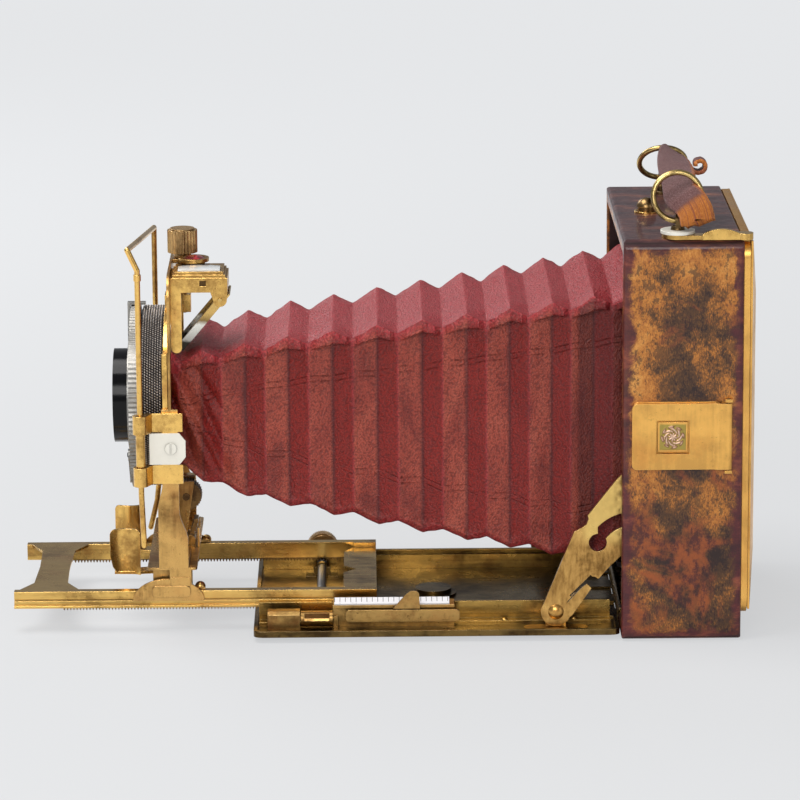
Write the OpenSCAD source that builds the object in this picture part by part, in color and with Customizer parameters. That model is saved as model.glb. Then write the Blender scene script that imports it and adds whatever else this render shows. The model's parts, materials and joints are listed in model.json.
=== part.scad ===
// Tropical folding plate camera, opened with its bellows out and its bed down.
// X runs from the lens (minus) to the back (plus), Y across, Z up.
// The origin is the mouth of the tripod bush under the bed.

/* [Body] */
// Width of the wooden body
body_w = 118; // [110:1:130]
// Height of the wooden body
body_h = 158; // [152:1:172]
// Depth of the wooden body, front to back
body_d = 46.2; // [44:0.2:54]
// Thickness of the wooden walls
body_wall = 5.5; // [4.5:0.1:6]
// Radius on the long corners
body_r = 4; // [2:0.5:6]
// Radius on the front and back edges
face_r = 1.6; // [1:0.2:2]
// Depth of the hollow behind the front opening
hollow_d = 36; // [32:0.5:38]
// Width of the picture opening
plate_w = 86; // [80:1:90]
// Height of the picture opening
plate_h = 116; // [110:1:120]
// Height of the picture opening's centre
plate_z = 87; // [84:0.5:89]

/* [Bed] */
// Length of the drop bed
bed_len = 142.3; // [138:0.1:150]
// Distance of each side of the bed from the body's side
bed_inset = 2; // [1.5:0.1:3]
// Height of the bed's rim above the table
bed_lift = 2; // [1.6:0.1:2.2]
// Height of the bed's rim
rim_h = 2.4; // [2:0.1:2.4]
// Thickness of the bed's rim
rim_t = 1.6; // [1.2:0.1:2]
// Thickness of the bed's tray
tray_t = 0.8; // [0.6:0.1:0.9]
// Gap between the bed and the body
bed_gap = 0.5; // [0.4:0.1:1]
// Distance from the tripod bush to the body
bush_back = 72; // [66:1:76]
// Radius of the tripod thread
bush_r = 4.76; // [3:0.01:5]
// Depth of the tripod thread
bush_depth = 5.2; // [4.5:0.1:5.4]

/* [Guides and track] */
// Inner face of each fixed guide, from the centre
guide_y = 38; // [37:0.1:39]
// Wall thickness of each fixed guide
guide_t = 1.6; // [1.4:0.1:1.8]
// Top of the fixed guides
guide_top = 11.3; // [11.2:0.1:11.6]
// Length of the moving track
track_len = 142; // [136:1:144]
// How far the track's front end stands ahead of the body
track_reach = 236.8; // [232:0.1:240]
// Underside of the moving rails
rail_z = 9.4; // [9.3:0.1:9.5]
// Height of the moving rails
rail_h = 6.4; // [6:0.1:6.6]
// Width of the moving rails
rail_w = 3.8; // [3.4:0.1:4.2]
// Running gap between sliding parts
run_gap = 0.3; // [0.25:0.05:0.4]
// Module of the rack and pinion teeth
gear_m = 0.4; // [0.38:0.01:0.42]
// Teeth on each pinion
pinion_n = 9; // [8:1:9]
// Distance of the pinion shaft ahead of the body
shaft_reach = 116.8; // [112:0.1:120]
// Radius of the pinion shaft
shaft_r = 1.1; // [1:0.05:1.15]
// Radius of the focusing knob
knob_r = 6.4; // [5:0.1:6.4]
// Width of the focusing knob
knob_w = 6; // [4:0.5:8]

/* [Struts] */
// Middle of each strut plate, from the inner face of the body's side
strut_in = 2.3; // [2.1:0.1:2.7]
// Thickness of each strut plate
strut_t = 1.4; // [1:0.1:1.6]
// Distance of the strut rivet ahead of the body
strut_reach = 25.2; // [24:0.1:26]
// Height of the strut rivet
strut_z = 10; // [9.5:0.1:10.5]

/* [Standard] */
// Distance of the standard's middle ahead of the body
standard_reach = 176.2; // [170:0.1:180]
// Length of the sliding base plate
base_len = 19.4; // [18:0.2:24]
// Top of the sliding base plate
base_top = 25.6; // [25:0.1:26.4]
// Thickness of the base plate and of the frame
sheet_t = 1.2; // [1:0.1:1.3]
// Inner face of the frame's arms, from the centre
arm_y = 40; // [39.6:0.1:41]
// Top of the frame's upper plate
frame_top = 141.6; // [139:0.1:144]
// Height of the lens axis
lens_z = 86; // [85:0.1:87]
// Radius of the shutter drum
drum_r = 35.5; // [33:0.1:36]
// Radius of the speed ring
ring_r = 36.4; // [34:0.1:37.4]
// Radius of the lens barrel
barrel_r = 18.6; // [15:0.1:20]
// How far the lens barrel stands ahead of the standard's middle
barrel_len = 21.6; // [20:0.1:28]
// Radius of the glass seen at the front
glass_r = 14; // [10:0.5:15]
// Play of the shaft in its bores
shaft_play = 0.05; // [0.02:0.01:0.08]

/* [Frame finder and brilliant finder] */
// Radius of the finder's wire
wire_r = 1.1; // [0.9:0.05:1.1]
// Distance of the wire's upright from the centre
wire_y = 45.6; // [45.4:0.1:46]
// Top of the wire frame
wire_top = 153.4; // [150:0.1:156]
// Width of the brilliant finder
finder_w = 20; // [16:0.5:22]
// Length of the brilliant finder
finder_len = 22.2; // [21:0.2:24]

/* [Bellows] */
// Spacing of the bellows' folds
fold_pitch = 16.7; // [15:0.1:17]
// Depth of each fold
fold_depth = 4; // [2:0.2:4.5]
// Thickness of the bellows' leather
leather_t = 0.9; // [0.6:0.1:1.2]

/* [Side and top fittings] */
// Length of the side flap, edge to hinge
flap_len = 37; // [34:0.5:38]
// Height of the side flap
flap_h = 26; // [22:0.5:30]
// Height of the side flap's middle
flap_z = 81.9; // [78:0.1:86]
// Width and height of the flap's window
window_w = 12.8; // [10:0.2:14]
// Radius of the two carrying rings
loop_r = 9.2; // [8:0.1:10]
// Radius of the carrying rings' wire
loop_wire = 1.1; // [0.9:0.05:1.2]
// Distance of the near ring post from the centre
post_near = 51.8; // [50:0.1:52]
// Distance of the far ring post from the centre
post_far = 41; // [38:0.5:46]
// Depth of the back's hinged lid
lid_d = 3.8; // [3:0.1:6]

/* [Hidden] */
$fn = 64;

brass = "#b8944f";
dark_brass = "#7d6236";
lacquer = "#6b3a24";
black = "#1c1b1c";
silver = "#c9c8c2";
leather_red = "#8d2b33";
leather_brown = "#7a4a44";

// Body
inner_y = body_w / 2 - body_wall;
inner_top = body_h - body_wall;

// Bed
bed_w = body_w - 2 * bed_inset;
strut_y = inner_y - strut_in;
panel_t = 1.0;
floor_z = bed_lift + 0.4 + tray_t;
bed_front = -bed_gap - bed_len;
bush_wall = 2.4;
bush_top = bush_depth + 0.8;
hinge_r = 1.7;
hinge_pin_r = 0.8;
hinge_x = 1.2;
hinge_z = floor_z + 0.3 + hinge_r;
hinge_w = 74;

// Guides, each a channel whose slot holds the foot of a moving rail
guide_out = guide_y + guide_t;
slot_y = guide_out - 0.6;
slot_top = rail_z + 1.2;
slot_low = rail_z - run_gap;

// Track
rail_out = guide_y - 0.4;
rail_in = rail_out - rail_w;
rail_top = rail_z + rail_h;
groove_low = rail_z + 2.6;
groove_h = 0.8;
groove_d = 0.8;
track_front = -track_reach;
track_back = track_front + track_len;
tooth_pitch = PI * gear_m;
pitch_r = pinion_n * gear_m / 2;
rack_line = rail_z - 1.0;
shaft_z = rack_line - pitch_r;
rack_y = [rail_in + 0.4, rail_in + 2.6];
shaft_x = -shaft_reach;
bearing_y = 28;

// Standard
std_x = -standard_reach;
base_x = [std_x + 1.6 - base_len / 2, std_x + 1.6 + base_len / 2];
base_low = base_top - 1;
frame_low = base_top + run_gap;
arm_out = arm_y + sheet_t;
panel_back = std_x + 1;
panel_front = panel_back - 2;
drum_back = panel_front - 0.5;
drum_front = drum_back - 8.2;
face_front = drum_front - 3.7;
boss_r = 29.7;
ring_x = [face_front - 1.1, face_front + 2.3];
barrel_front = std_x - barrel_len;
plate_x = [panel_back + run_gap, panel_back + run_gap + 1];
screw_x = std_x + 6.2;
screw_r = 1.4;
shift_z = base_top + 19.7;
shift_x = std_x + 6.1;
wheel_r = 6.2;
wire_x = std_x - 9.5;
clip_z = [60.3, 67.8, 81, 88.3];

// Brilliant finder
finder_y = [-28.2, -28.2 + finder_w];
finder_x = [plate_x[1], plate_x[1] + finder_len];
finder_z = 133;
finder_h = 5.7;
finder_top = finder_z + 7.9;
column_low = 109;
cheek_far_low = 112.4;
web_low = lens_z + 34;
mirror_pivot = [finder_x[1] - 3, finder_z - 3];
mirror_foot = [finder_x[0] + 4, column_low + 3];
jewel_x = finder_x[0] + 8.6;
jewel_y = finder_y[1] - 1.3;

// Top fittings
post_x = 21;
eye_z = body_h + 6.4;
eye_r = 1.9;

// Places a piece that is measured from the front face of the body
module place() translate([bush_back, 0, 0]) children();

module block(x, y, z) translate([x[0], y[0], z[0]]) cube([x[1] - x[0], y[1] - y[0], z[1] - z[0]]);

module rod_x(y, z, r, x) translate([x[0], y, z]) rotate([0, 90, 0]) cylinder(r = r, h = x[1] - x[0]);

module rod_y(x, z, r, y) translate([x, y[1], z]) rotate([90, 0, 0]) cylinder(r = r, h = y[1] - y[0]);

module rod_z(x, y, r, z) translate([x, y, z[0]]) cylinder(r = r, h = z[1] - z[0]);

// Flat outlines given thickness along one axis
module sheet_x(x) translate([x[0], 0, 0]) rotate([90, 0, 90]) linear_extrude(x[1] - x[0]) children();

module sheet_y(y) translate([0, y[1], 0]) rotate([90, 0, 0]) linear_extrude(y[1] - y[0]) children();

module sheet_z(z) translate([0, 0, z[0]]) linear_extrude(z[1] - z[0]) children();

module both_sides() {
    children();
    mirror([0, 1, 0]) children();
}

// Rectangle from corner a to corner b with round corners
module round_rect(a, b, r) {
    translate([a[0] + r, a[1]]) square([b[0] - a[0] - 2 * r, b[1] - a[1]]);
    translate([a[0], a[1] + r]) square([b[0] - a[0], b[1] - a[1] - 2 * r]);
    for (x = [a[0] + r, b[0] - r], y = [a[1] + r, b[1] - r]) translate([x, y]) circle(r);
}

// Rectangle with its corners cut off at 45 degrees
function cut_rect(a, b, c) = [[a[0] + c, a[1]], [b[0] - c, a[1]], [b[0], a[1] + c], [b[0], b[1] - c],
    [b[0] - c, b[1]], [a[0] + c, b[1]], [a[0], b[1] - c], [a[0], a[1] + c]];

// Straight wire from p to q
module wire(p, q, r) {
    d = q - p;
    length = norm(d);
    translate(p) rotate([0, acos(d[2] / length), atan2(d[1], d[0])]) cylinder(r = r, h = length);
}

// Wire bent at each point, with round bends
module bent_wire(points, r) {
    for (i = [0 : len(points) - 2]) wire(points[i], points[i + 1], r);
    for (i = [1 : len(points) - 2]) translate(points[i]) sphere(r + 0.02);
}

// Outline of a straight-knurled edge
module knurl(r, depth, n) polygon([for (i = [0 : 2 * n - 1]) let (a = i * 180 / n, k = r - depth * (i % 2))
    [k * cos(a), k * sin(a)]]);

function ease(t) = let (u = min(1, max(0, t))) u * u * (3 - 2 * u);

button_x = 12.4;
button_r = 3.6;
stem_r = 1.6;
module body_shell() color(lacquer) place() difference() {
    intersection() {
        sheet_x([0, body_d]) round_rect([-body_w / 2, 0], [body_w / 2, body_h], body_r);
        sheet_y([-body_w / 2, body_w / 2]) round_rect([0, 0], [body_d, body_h], face_r);
        sheet_z([0, body_h]) round_rect([0, -body_w / 2], [body_d, body_w / 2], face_r);
    }
    sheet_x([-1, hollow_d]) round_rect([-inner_y, body_wall], [inner_y, inner_top], 2);
    block([hollow_d - 1, body_d + 1], [-plate_w / 2, plate_w / 2],
        [plate_z - plate_h / 2, plate_z + plate_h / 2]);
    // Notch in the sill for the bed's hinge
    block([-1, hinge_x + hinge_r + run_gap], [-hinge_w / 2 - 1, hinge_w / 2 + 1], [floor_z, body_wall + 1]);
    // Well and bore of the bed button
    rod_z(button_x, 0, button_r + run_gap, [body_h - 2, body_h + 1]);
    rod_z(button_x, 0, stem_r + shaft_play, [inner_top - 1, body_h]);
    // Rebate at the back for the ground glass
    block([body_d - 2.4, body_d + 1], [-plate_w / 2 - 3, plate_w / 2 + 3],
        [plate_z - plate_h / 2 - 3, plate_z + plate_h / 2 + 3]);
}

// Short rails inside the body that receive the standard
module body_rails() color(dark_brass) place() both_sides() {
    sheet_x([4, hollow_d - 2]) polygon([[guide_y, body_wall], [guide_out + 4, body_wall],
        [guide_out + 4, body_wall + 0.8], [guide_out, body_wall + 0.8], [guide_out, guide_top],
        [guide_y, guide_top]]);
}

// Black frame that holds the wide end of the bellows
module plate_frame() color(black) place() difference() {
    block([hollow_d - 4, hollow_d], [-inner_y + 1, inner_y - 1],
        [plate_z - plate_h / 2 - 6, inner_top - 0.4]);
    block([hollow_d - 5, hollow_d + 1], [-plate_w / 2, plate_w / 2],
        [plate_z - plate_h / 2, plate_z + plate_h / 2]);
}

module ground_glass() color(silver) place()
    block([body_d - 2.4, body_d - 0.6], [-plate_w / 2 - 2.6, plate_w / 2 + 2.6],
        [plate_z - plate_h / 2 - 2.6, plate_z + plate_h / 2 + 2.6]);

// Brass frame on the back with the lid's hinge knuckles on its far edge
lid_low = 11.6;
lid_high = body_h - 1;
lid_y = body_w / 2 - 3.4;
frame_t = 2.4;
lid_hinge_y = lid_y + 1.6;
lid_hinge_x = body_d + frame_t + 1.3;
lid_knuckle = 12;
lid_knuckle_z = [40, body_h - 54];
module back_frame() color(brass) place() {
    difference() {
        sheet_x([body_d, body_d + frame_t]) round_rect([-body_w / 2 + 1.4, 9.6],
            [body_w / 2 - 1.4, body_h - 0.4], 7);
        block([body_d - 1, body_d + frame_t + 1], [-plate_w / 2 + 1, plate_w / 2 - 1],
            [plate_z - plate_h / 2 + 1, plate_z + plate_h / 2 - 1]);
    }
    for (z = lid_knuckle_z) difference() {
        union() {
            rod_z(lid_hinge_x, lid_hinge_y, 1.3, [z, z + lid_knuckle]);
            block([body_d + frame_t - 0.2, lid_hinge_x], [lid_hinge_y - 0.9, lid_hinge_y + 0.9],
                [z, z + lid_knuckle]);
        }
        rod_z(lid_hinge_x, lid_hinge_y, 0.6, [z - 1, z + lid_knuckle + 1]);
    }
}

// Bevelled pan over the ground glass
module lid_pan(grow) hull() {
    x0 = body_d + frame_t + run_gap;
    sheet_x([x0, x0 + 0.8]) square_from([-lid_y - grow, lid_low - grow],
        [lid_y - 0.6 + grow, lid_high + grow]);
    sheet_x([x0 + lid_d - 0.1, x0 + lid_d]) square_from([-lid_y + 21 - grow, 30.5 - grow],
        [lid_y - 21 + grow, 133 + grow]);
}

module square_from(a, b) translate(a) square(b - a);

lid_roll = [lid_knuckle_z[0] + lid_knuckle + run_gap, lid_knuckle_z[1] - run_gap];
module back_lid() color(brass) place() {
    difference() {
        lid_pan(0);
        translate([-0.8, 0, 0]) lid_pan(-0.8);
        for (z = lid_knuckle_z) block([lid_hinge_x - 2, lid_hinge_x + 2],
            [lid_hinge_y - 2.2, lid_hinge_y + 2], [z - run_gap, z + lid_knuckle + run_gap]);
    }
    difference() {
        union() {
            rod_z(lid_hinge_x, lid_hinge_y, 1.3, lid_roll);
            block([lid_hinge_x - 1, lid_hinge_x - 0.2], [lid_y - 1.6, lid_hinge_y], lid_roll);
        }
        rod_z(lid_hinge_x, lid_hinge_y, 0.65, [lid_roll[0] - 1, lid_roll[1] + 1]);
    }
}

module lid_hinge_pin() color(dark_brass) place() rod_z(lid_hinge_x, lid_hinge_y, 0.6,
    [lid_knuckle_z[0] - 1, lid_knuckle_z[1] + lid_knuckle + 1]);

// Latch that swings out from over the back
latch_z = [body_h + 0.1, body_h + 1.7];
latch_end = body_d + frame_t + 0.4;
module top_latch() color(brass) place() {
    difference() {
        union() {
            rod_z(post_x, -post_near, 6.2, latch_z);
            block([post_x, latch_end - 3], [-post_near - 6, -post_near - 1.4], latch_z);
            rod_z(latch_end - 2.6, -post_near - 4.6, 3.1, [latch_z[0], latch_z[1] + 0.8]);
        }
        rod_z(post_x, -post_near, 2.05, [body_h - 1, body_h + 3]);
    }
    // Raised grip, arched along its length
    sheet_y([-post_near - 6.8, -post_near - 4.6]) intersection() {
        square_from([post_x + 9, latch_z[0]], [latch_end - 3.6, latch_z[1] + 3]);
        translate([post_x + 16.4, latch_z[1] - 11.4]) circle(14);
    }
}

module latch_washer() color("#d9d7d0") place() difference() {
    rod_z(post_x, -post_near, 6.6, [latch_z[1] + 0.1, latch_z[1] + 1.3]);
    rod_z(post_x, -post_near, 2.05, [latch_z[1] - 1, latch_z[1] + 2]);
}

// Post with an eye for a carrying ring, standing at x, y
module ring_post(x, y, stem_r) {
    difference() {
        union() {
            rod_z(x, y, 2, [body_h, body_h + 3.2]);
            translate([x, y, body_h + 3.1]) cylinder(r1 = stem_r, r2 = stem_r - 0.5, h = 1.5);
            rod_z(x, y, stem_r - 0.5, [body_h + 4.5, eye_z - 1.9]);
            block([x - 1, x + 1], [y - 2.8, y + 2.8], [body_h + 4, eye_z]);
            rod_x(y, eye_z, 2.8, [x - 1, x + 1]);
        }
        rod_x(y, eye_z, eye_r, [x - 2, x + 2]);
    }
}

module ring_post_near() color(dark_brass) place() ring_post(post_x, -post_near, 2.8);

module ring_post_far() color(dark_brass) place() {
    ring_post(post_x, post_far, 2.8);
    rod_z(post_x, post_far, 4.2, [body_h, body_h + 1.2]);
}

// Carrying ring that hangs in an eye, leaning along Y by an angle
module carry_ring(x, y, lean) translate([x, y, eye_z]) rotate([lean, 0, 0]) translate([0, 0, loop_r])
    rotate([90, 0, 0]) rotate_extrude() translate([loop_r, 0]) circle(loop_wire, $fn = 24);

near_lean = -13;
far_lean = 40;
module ring_near() color(dark_brass) place() carry_ring(post_x, -post_near, near_lean);

module ring_far() color(dark_brass) place() carry_ring(post_x, post_far, far_lean);

// Leather strap through both rings: width runs along X, and the path climbs from end to end
strap_w = 10.5;
strap_t = 2.2;
strap_path = [[26, -60.5, 167.6, 26], [23.6, -57, 171.6, 20], [21.6, -50, 175.6, 12], [21.8, -42, 177.8, 6],
    [22.4, -20, 179.6, 2], [22.6, 0, 179.6, 0], [22.6, 16, 178.4, 0], [22.2, 27, 175.4, 0],
    [21.4, 37.4, 169.8, 0]];
function strap_ring(p) = let (c = cos(p[3]), s = sin(p[3]))
    [for (q = [[-1, -1], [1, -1], [1, 1], [-1, 1]]) [p[0] + q[0] * strap_w / 2 * c + q[1] * strap_t / 2 * s,
        p[1], p[2] - q[0] * strap_w / 2 * s + q[1] * strap_t / 2 * c]];
module tube_through(rings) {
    n = len(rings[0]);
    m = len(rings);
    polyhedron([for (ring = rings, p = ring) p], concat(
        [[for (i = [0 : n - 1]) i]],
        [for (k = [0 : m - 2], i = [0 : n - 1]) [k * n + i, (k + 1) * n + i, (k + 1) * n + (i + 1) % n]],
        [for (k = [0 : m - 2], i = [0 : n - 1]) [k * n + i, (k + 1) * n + (i + 1) % n, k * n + (i + 1) % n]],
        [[for (i = [n - 1 : -1 : 0]) (m - 1) * n + i]]));
}

module handle_strap() color(leather_brown) place() tube_through([for (p = strap_path) strap_ring(p)]);

// Domed button that frees the bed: its stem goes through the top wall
module bed_button() color(dark_brass) place() {
    rod_z(button_x, 0, button_r, [body_h - 0.5, body_h + 2.6]);
    translate([button_x, 0, body_h]) rotate_extrude() intersection() {
        translate([0, 1.9]) circle(4);
        translate([0, 2.4]) square([5, 5]);
    }
    rod_z(button_x, 0, stem_r, [inner_top - 1, body_h - 0.4]);
}

module button_bezel() color(brass) place() difference() {
    rod_z(button_x, 0, button_r + 1.3, [body_h, body_h + 0.7]);
    rod_z(button_x, 0, button_r + run_gap, [body_h - 1, body_h + 1]);
}

// Fixed plate and boss that the peep sight lies on
flap_x = [3.5, 3.5 + flap_len];
window_x = [flap_x[0] + 9.2, flap_x[0] + 9.2 + window_w];
side_y = -body_w / 2;
module sight_plate() color(brass) place() {
    sheet_y([side_y - 0.8, side_y]) round_rect([flap_x[0] + 0.5, flap_z - flap_h / 2 + 0.8],
        [flap_x[1] - 3, flap_z + flap_h / 2 + 0.4], 2);
    block([window_x[0] + 0.7, window_x[1] - 0.7], [side_y - 1.8, side_y - 0.7],
        [flap_z - window_w / 2 + 0.3, flap_z + window_w / 2 - 0.7]);
    // Ears that hold the ends of the hinge pin
    for (z = [flap_z - flap_h / 2 - 1.6, flap_z + flap_h / 2 + 0.4]) difference() {
        block([flap_x[1] - 1.4, flap_x[1] + 1.4], [side_y - 2.6, side_y], [z, z + 1.2]);
        rod_z(flap_x[1], side_y - 1.5, 0.7, [z - 1, z + 2]);
    }
}

module sight_flap() color(brass) place() {
    top = flap_z + flap_h / 2;
    low = flap_z - flap_h / 2;
    difference() {
        union() {
            sheet_y([side_y - 2.2, side_y - 1.1]) difference() {
                union() {
                    round_rect([flap_x[0], low], [flap_x[1] - 5.4, top], 2);
                    square_from([flap_x[1] - 9, low], [flap_x[1] - 5.4, top]);
                }
                square_from([window_x[0], flap_z - window_w / 2 - 0.4],
                    [window_x[1], flap_z + window_w / 2]);
            }
            // Pressed step between the plate and its hinge roll
            sheet_z([low, top]) polygon([[flap_x[1] - 5.6, side_y - 2.2], [flap_x[1] - 4, side_y - 2.9],
                [flap_x[1], side_y - 2.9], [flap_x[1], side_y - 1.9], [flap_x[1] - 4, side_y - 1.9],
                [flap_x[1] - 5.6, side_y - 1.1]]);
            rod_z(flap_x[1], side_y - 1.5, 1.4, [low, top]);
        }
        rod_z(flap_x[1], side_y - 1.5, 0.75, [low - 1, top + 1]);
    }
}

module sight_flap_pin() color(dark_brass) place()
    rod_z(flap_x[1], side_y - 1.5, 0.7, [flap_z - flap_h / 2 - 1.8, flap_z + flap_h / 2 + 1.8]);

// Lacquered panel under the bed
module bed_panel() color(lacquer) place() difference() {
    sheet_z([bed_lift + 0.4 - panel_t, bed_lift + 0.4])
        round_rect([bed_front + rim_t + 0.3, -bed_w / 2 + rim_t + 0.3],
            [-bed_gap - rim_t - 0.3, bed_w / 2 - rim_t - 0.3], 2);
    rod_z(-bush_back, 0, bush_r + bush_wall + 0.05, [-1, 5]);
}

module bed_tray() color(brass) place() difference() {
    union() {
        sheet_z([bed_lift, bed_lift + rim_h]) difference() {
            round_rect([bed_front, -bed_w / 2], [-bed_gap, bed_w / 2], 3);
            round_rect([bed_front + rim_t, -bed_w / 2 + rim_t], [-bed_gap - rim_t, bed_w / 2 - rim_t], 1.6);
        }
        sheet_z([floor_z - tray_t, floor_z]) round_rect([bed_front + 0.4, -bed_w / 2 + 0.4],
            [-bed_gap - 0.4, bed_w / 2 - 0.4], 2.6);
    }
    rod_z(-bush_back, 0, bush_r + bush_wall + 0.05, [-1, 9]);
    block([-bed_gap - rim_t - 1, 1], [-hinge_w / 2 - 1, hinge_w / 2 + 1], [floor_z, 9]);
}

// Knuckles of the bed's hinge: the bed's leaf has the even ones, the body's the odd ones
knuckle_n = 7;
knuckle_w = hinge_w / knuckle_n;
module bed_hinge() color(brass) place() difference() {
    union() {
        for (i = [0 : knuckle_n - 1]) {
            y = -hinge_w / 2 + i * knuckle_w;
            rod_y(hinge_x, hinge_z, hinge_r, [y + 0.1, y + knuckle_w - 0.1]);
            if (i % 2 == 0) {
                block([-13, hinge_x], [y + 0.1, y + knuckle_w - 0.1], [floor_z, floor_z + 0.8]);
            } else {
                block([hinge_x, 14], [y + 0.1, y + knuckle_w - 0.1], [body_wall, body_wall + 0.8]);
            }
        }
    }
    rod_y(hinge_x, hinge_z, hinge_pin_r + 0.02, [-hinge_w, hinge_w]);
}

module bed_hinge_pin() color(dark_brass) place() rod_y(hinge_x, hinge_z, hinge_pin_r,
    [-hinge_w / 2 - 0.8, hinge_w / 2 + 0.8]);

// Channel whose slot keeps the foot of a moving rail from lifting
module guide_profile() polygon([[guide_y, floor_z], [guide_out + 3.4, floor_z],
    [guide_out + 3.4, floor_z + 1], [guide_out - 0.6, floor_z + 1], [guide_out - 0.6, floor_z + 3],
    [guide_out, floor_z + 3], [guide_out, guide_top], [guide_y, guide_top], [guide_y, slot_top],
    [slot_y, slot_top], [slot_y, slot_low], [guide_y, slot_low]]);

guide_x = [bed_front + rim_t + 0.3, -bed_gap - rim_t - 1.4];
module guide_rivets() for (i = [0 : 4]) {
    x = guide_x[0] + 14 + i * (guide_x[1] - guide_x[0] - 28) / 4;
    rod_z(x, guide_out + 1.8, 1, [floor_z + 1, floor_z + 1.5]);
}

module guides() color(brass) place() {
    mirror([0, 1, 0]) sheet_x(guide_x) guide_profile();
    // The focusing shaft runs out through the far guide
    difference() {
        sheet_x(guide_x) guide_profile();
        rod_y(shaft_x, shaft_z, shaft_r + shaft_play, [guide_y - 1, guide_out + 1]);
    }
    both_sides() guide_rivets();
}

module tripod_bush() color(dark_brass) place() difference() {
    union() {
        rod_z(-bush_back, 0, bush_r + bush_wall, [0, bush_top]);
        rod_z(-bush_back, 0, bush_r + bush_wall + 2, [floor_z, floor_z + 1]);
    }
    rod_z(-bush_back, 0, bush_r, [-1, bush_depth]);
}

// Strut plate with its keyhole, release prong and spring tongue, drawn from the rivet
strut_hole = [16.2, 27.7];
module strut_outline() difference() {
    union() {
        polygon([[-5.7, 1], [7, 32], [9.6, 33.4], [11.8, 35], [12.6, 37.2], [12.3, 38.6], [22.9, 52.2],
            [32, 62], [37, 62], [38, 54], [33, 48], [38, 42], [38, 30], [32, 28], [25.9, 23], [20.4, 17.6],
            [16.6, 13.2], [15.2, 14], [13.4, 14.2], [10, 10.8], [2, 1]]);
        circle(5.8);
        // Tongue, slit free from the plate
        polygon([[1, -5.5], [6.4, -1.4], [13.8, 9.4], [12, 11.2], [9.6, 9.2], [4.4, 3.6], [1, 2]]);
    }
    translate(strut_hole) circle(3.5);
    // Curved slot from the keyhole up to the stud's seat
    intersection() {
        translate([29.6, 21.4]) difference() {
            circle(18.4);
            circle(13);
        }
        square_from(strut_hole + [0, 0.6], [31, 45]);
    }
    translate([31, 37.1]) circle(2.7);
    rotate(45) square_from([8.4, 0.2], [20, 0.9]);
}

module strut() sheet_y([strut_y - strut_t / 2, strut_y + strut_t / 2]) translate([-strut_reach, strut_z])
    difference() {
        strut_outline();
        circle(1.6);
    }

module struts() color(brass) place() both_sides() strut();

// Foot, rivet and wall stud of each strut
stud_x = 31 - strut_reach;
module strut_fittings() color(dark_brass) place() both_sides() {
    y0 = strut_y - strut_t / 2;
    y1 = strut_y + strut_t / 2;
    rod_y(-strut_reach, strut_z, 1.55, [y0 - 0.6, y1 + 0.2]);
    rod_y(-strut_reach, strut_z, 2.9, [y0 - 1.8, y0 - 0.6]);
    // Riveted head on the outer face
    intersection() {
        rod_y(-strut_reach, strut_z, 3, [y1 + 0.1, y1 + 1.6]);
        translate([-strut_reach, y1 - 2.6, strut_z]) sphere(4.2);
    }
    // Upright ear and oval foot on the bed
    sheet_y([y0 - 1.8, y0 - 0.6]) square_from([-strut_reach - 4, floor_z], [-strut_reach + 4, strut_z]);
    sheet_z([floor_z, floor_z + 0.7]) translate([-strut_reach, strut_y]) {
        translate([-9, 0]) circle(3.4);
        translate([9, 0]) circle(3.4);
        square_from([-9, -3.4], [9, 3.4]);
    }
    // Stud on the wall that locks the strut
    rod_y(stud_x, 37.1 + strut_z, 2.4, [y0 - 0.8, inner_y]);
    rod_y(stud_x, 37.1 + strut_z, 3.6, [y0 - 1.8, y0 - 0.6]);
}

// Stop block of the distance stop
stop_y = -bed_w / 2 + 10;
stop_x = bed_front + 11.8;
module stop_block() color(brass) place() sheet_x([stop_x - 6.4, stop_x + 6.2])
    polygon([[stop_y - 3.5, floor_z], [stop_y + 2.6, floor_z], [stop_y + 2.6, floor_z + 6.4],
        [stop_y + 1.6, floor_z + 7.2], [stop_y - 2.4, floor_z + 7.2], [stop_y - 3.5, floor_z + 6]]);

// Lever that rolls about its own length to free the stop
lever_z = floor_z + 3.6;
module stop_lever() color(dark_brass) place() difference() {
    union() {
        rod_x(stop_y, lever_z, 3, [stop_x + 6.5, stop_x + 19]);
        sheet_x([stop_x + 8, stop_x + 17.6]) polygon([[stop_y, lever_z + 2], [stop_y, lever_z + 3],
            [stop_y - 5.2, lever_z + 1.4], [stop_y - 5.6, lever_z + 0.4]]);
    }
    rod_x(stop_y, lever_z, 0.85, [stop_x, stop_x + 30]);
}

// Carrier of the distance scale: a rolled bar, a face plate and the index tab
scale_x = [stop_x + 19, stop_x + 66.4];
module scale_carrier() color(brass) place() {
    block([scale_x[0], scale_x[1]], [stop_y + 0.4, stop_y + 2.6], [floor_z, 11.8]);
    rod_x(stop_y, lever_z, 0.8, [stop_x + 6.2, scale_x[0] + 1]);
    block([scale_x[0] + 0.2, scale_x[0] + 2], [stop_y - 1, stop_y + 2], [floor_z, lever_z + 1]);
    sheet_x(scale_x) polygon([[stop_y + 2.6, 11.2], [stop_y + 2.6, 13.2], [stop_y + 1.4, 14],
        [stop_y - 1.6, 12.4], [stop_y - 1.6, 11.2]]);
    sheet_y([stop_y - 3.4, stop_y - 2.4]) round_rect([scale_x[0] + 5, 6], [scale_x[1] + 2, 10.9], 1.6);
    block([scale_x[0] + 8, scale_x[1] - 6], [stop_y - 2.6, stop_y + 1], [8, 9]);
    // Index tab beside the scale
    sheet_y([stop_y - 3.2, stop_y - 2.4]) translate([scale_x[0], 0]) polygon([[23.5, 11.3], [34, 11.3],
        [33.6, 17.4], [32.6, 18.4], [30.4, 18.4], [28.6, 17.2]]);
    block([scale_x[0] + 24, scale_x[0] + 33.4], [stop_y - 3.2, stop_y - 1], [11.3, 12.2]);
}

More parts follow.
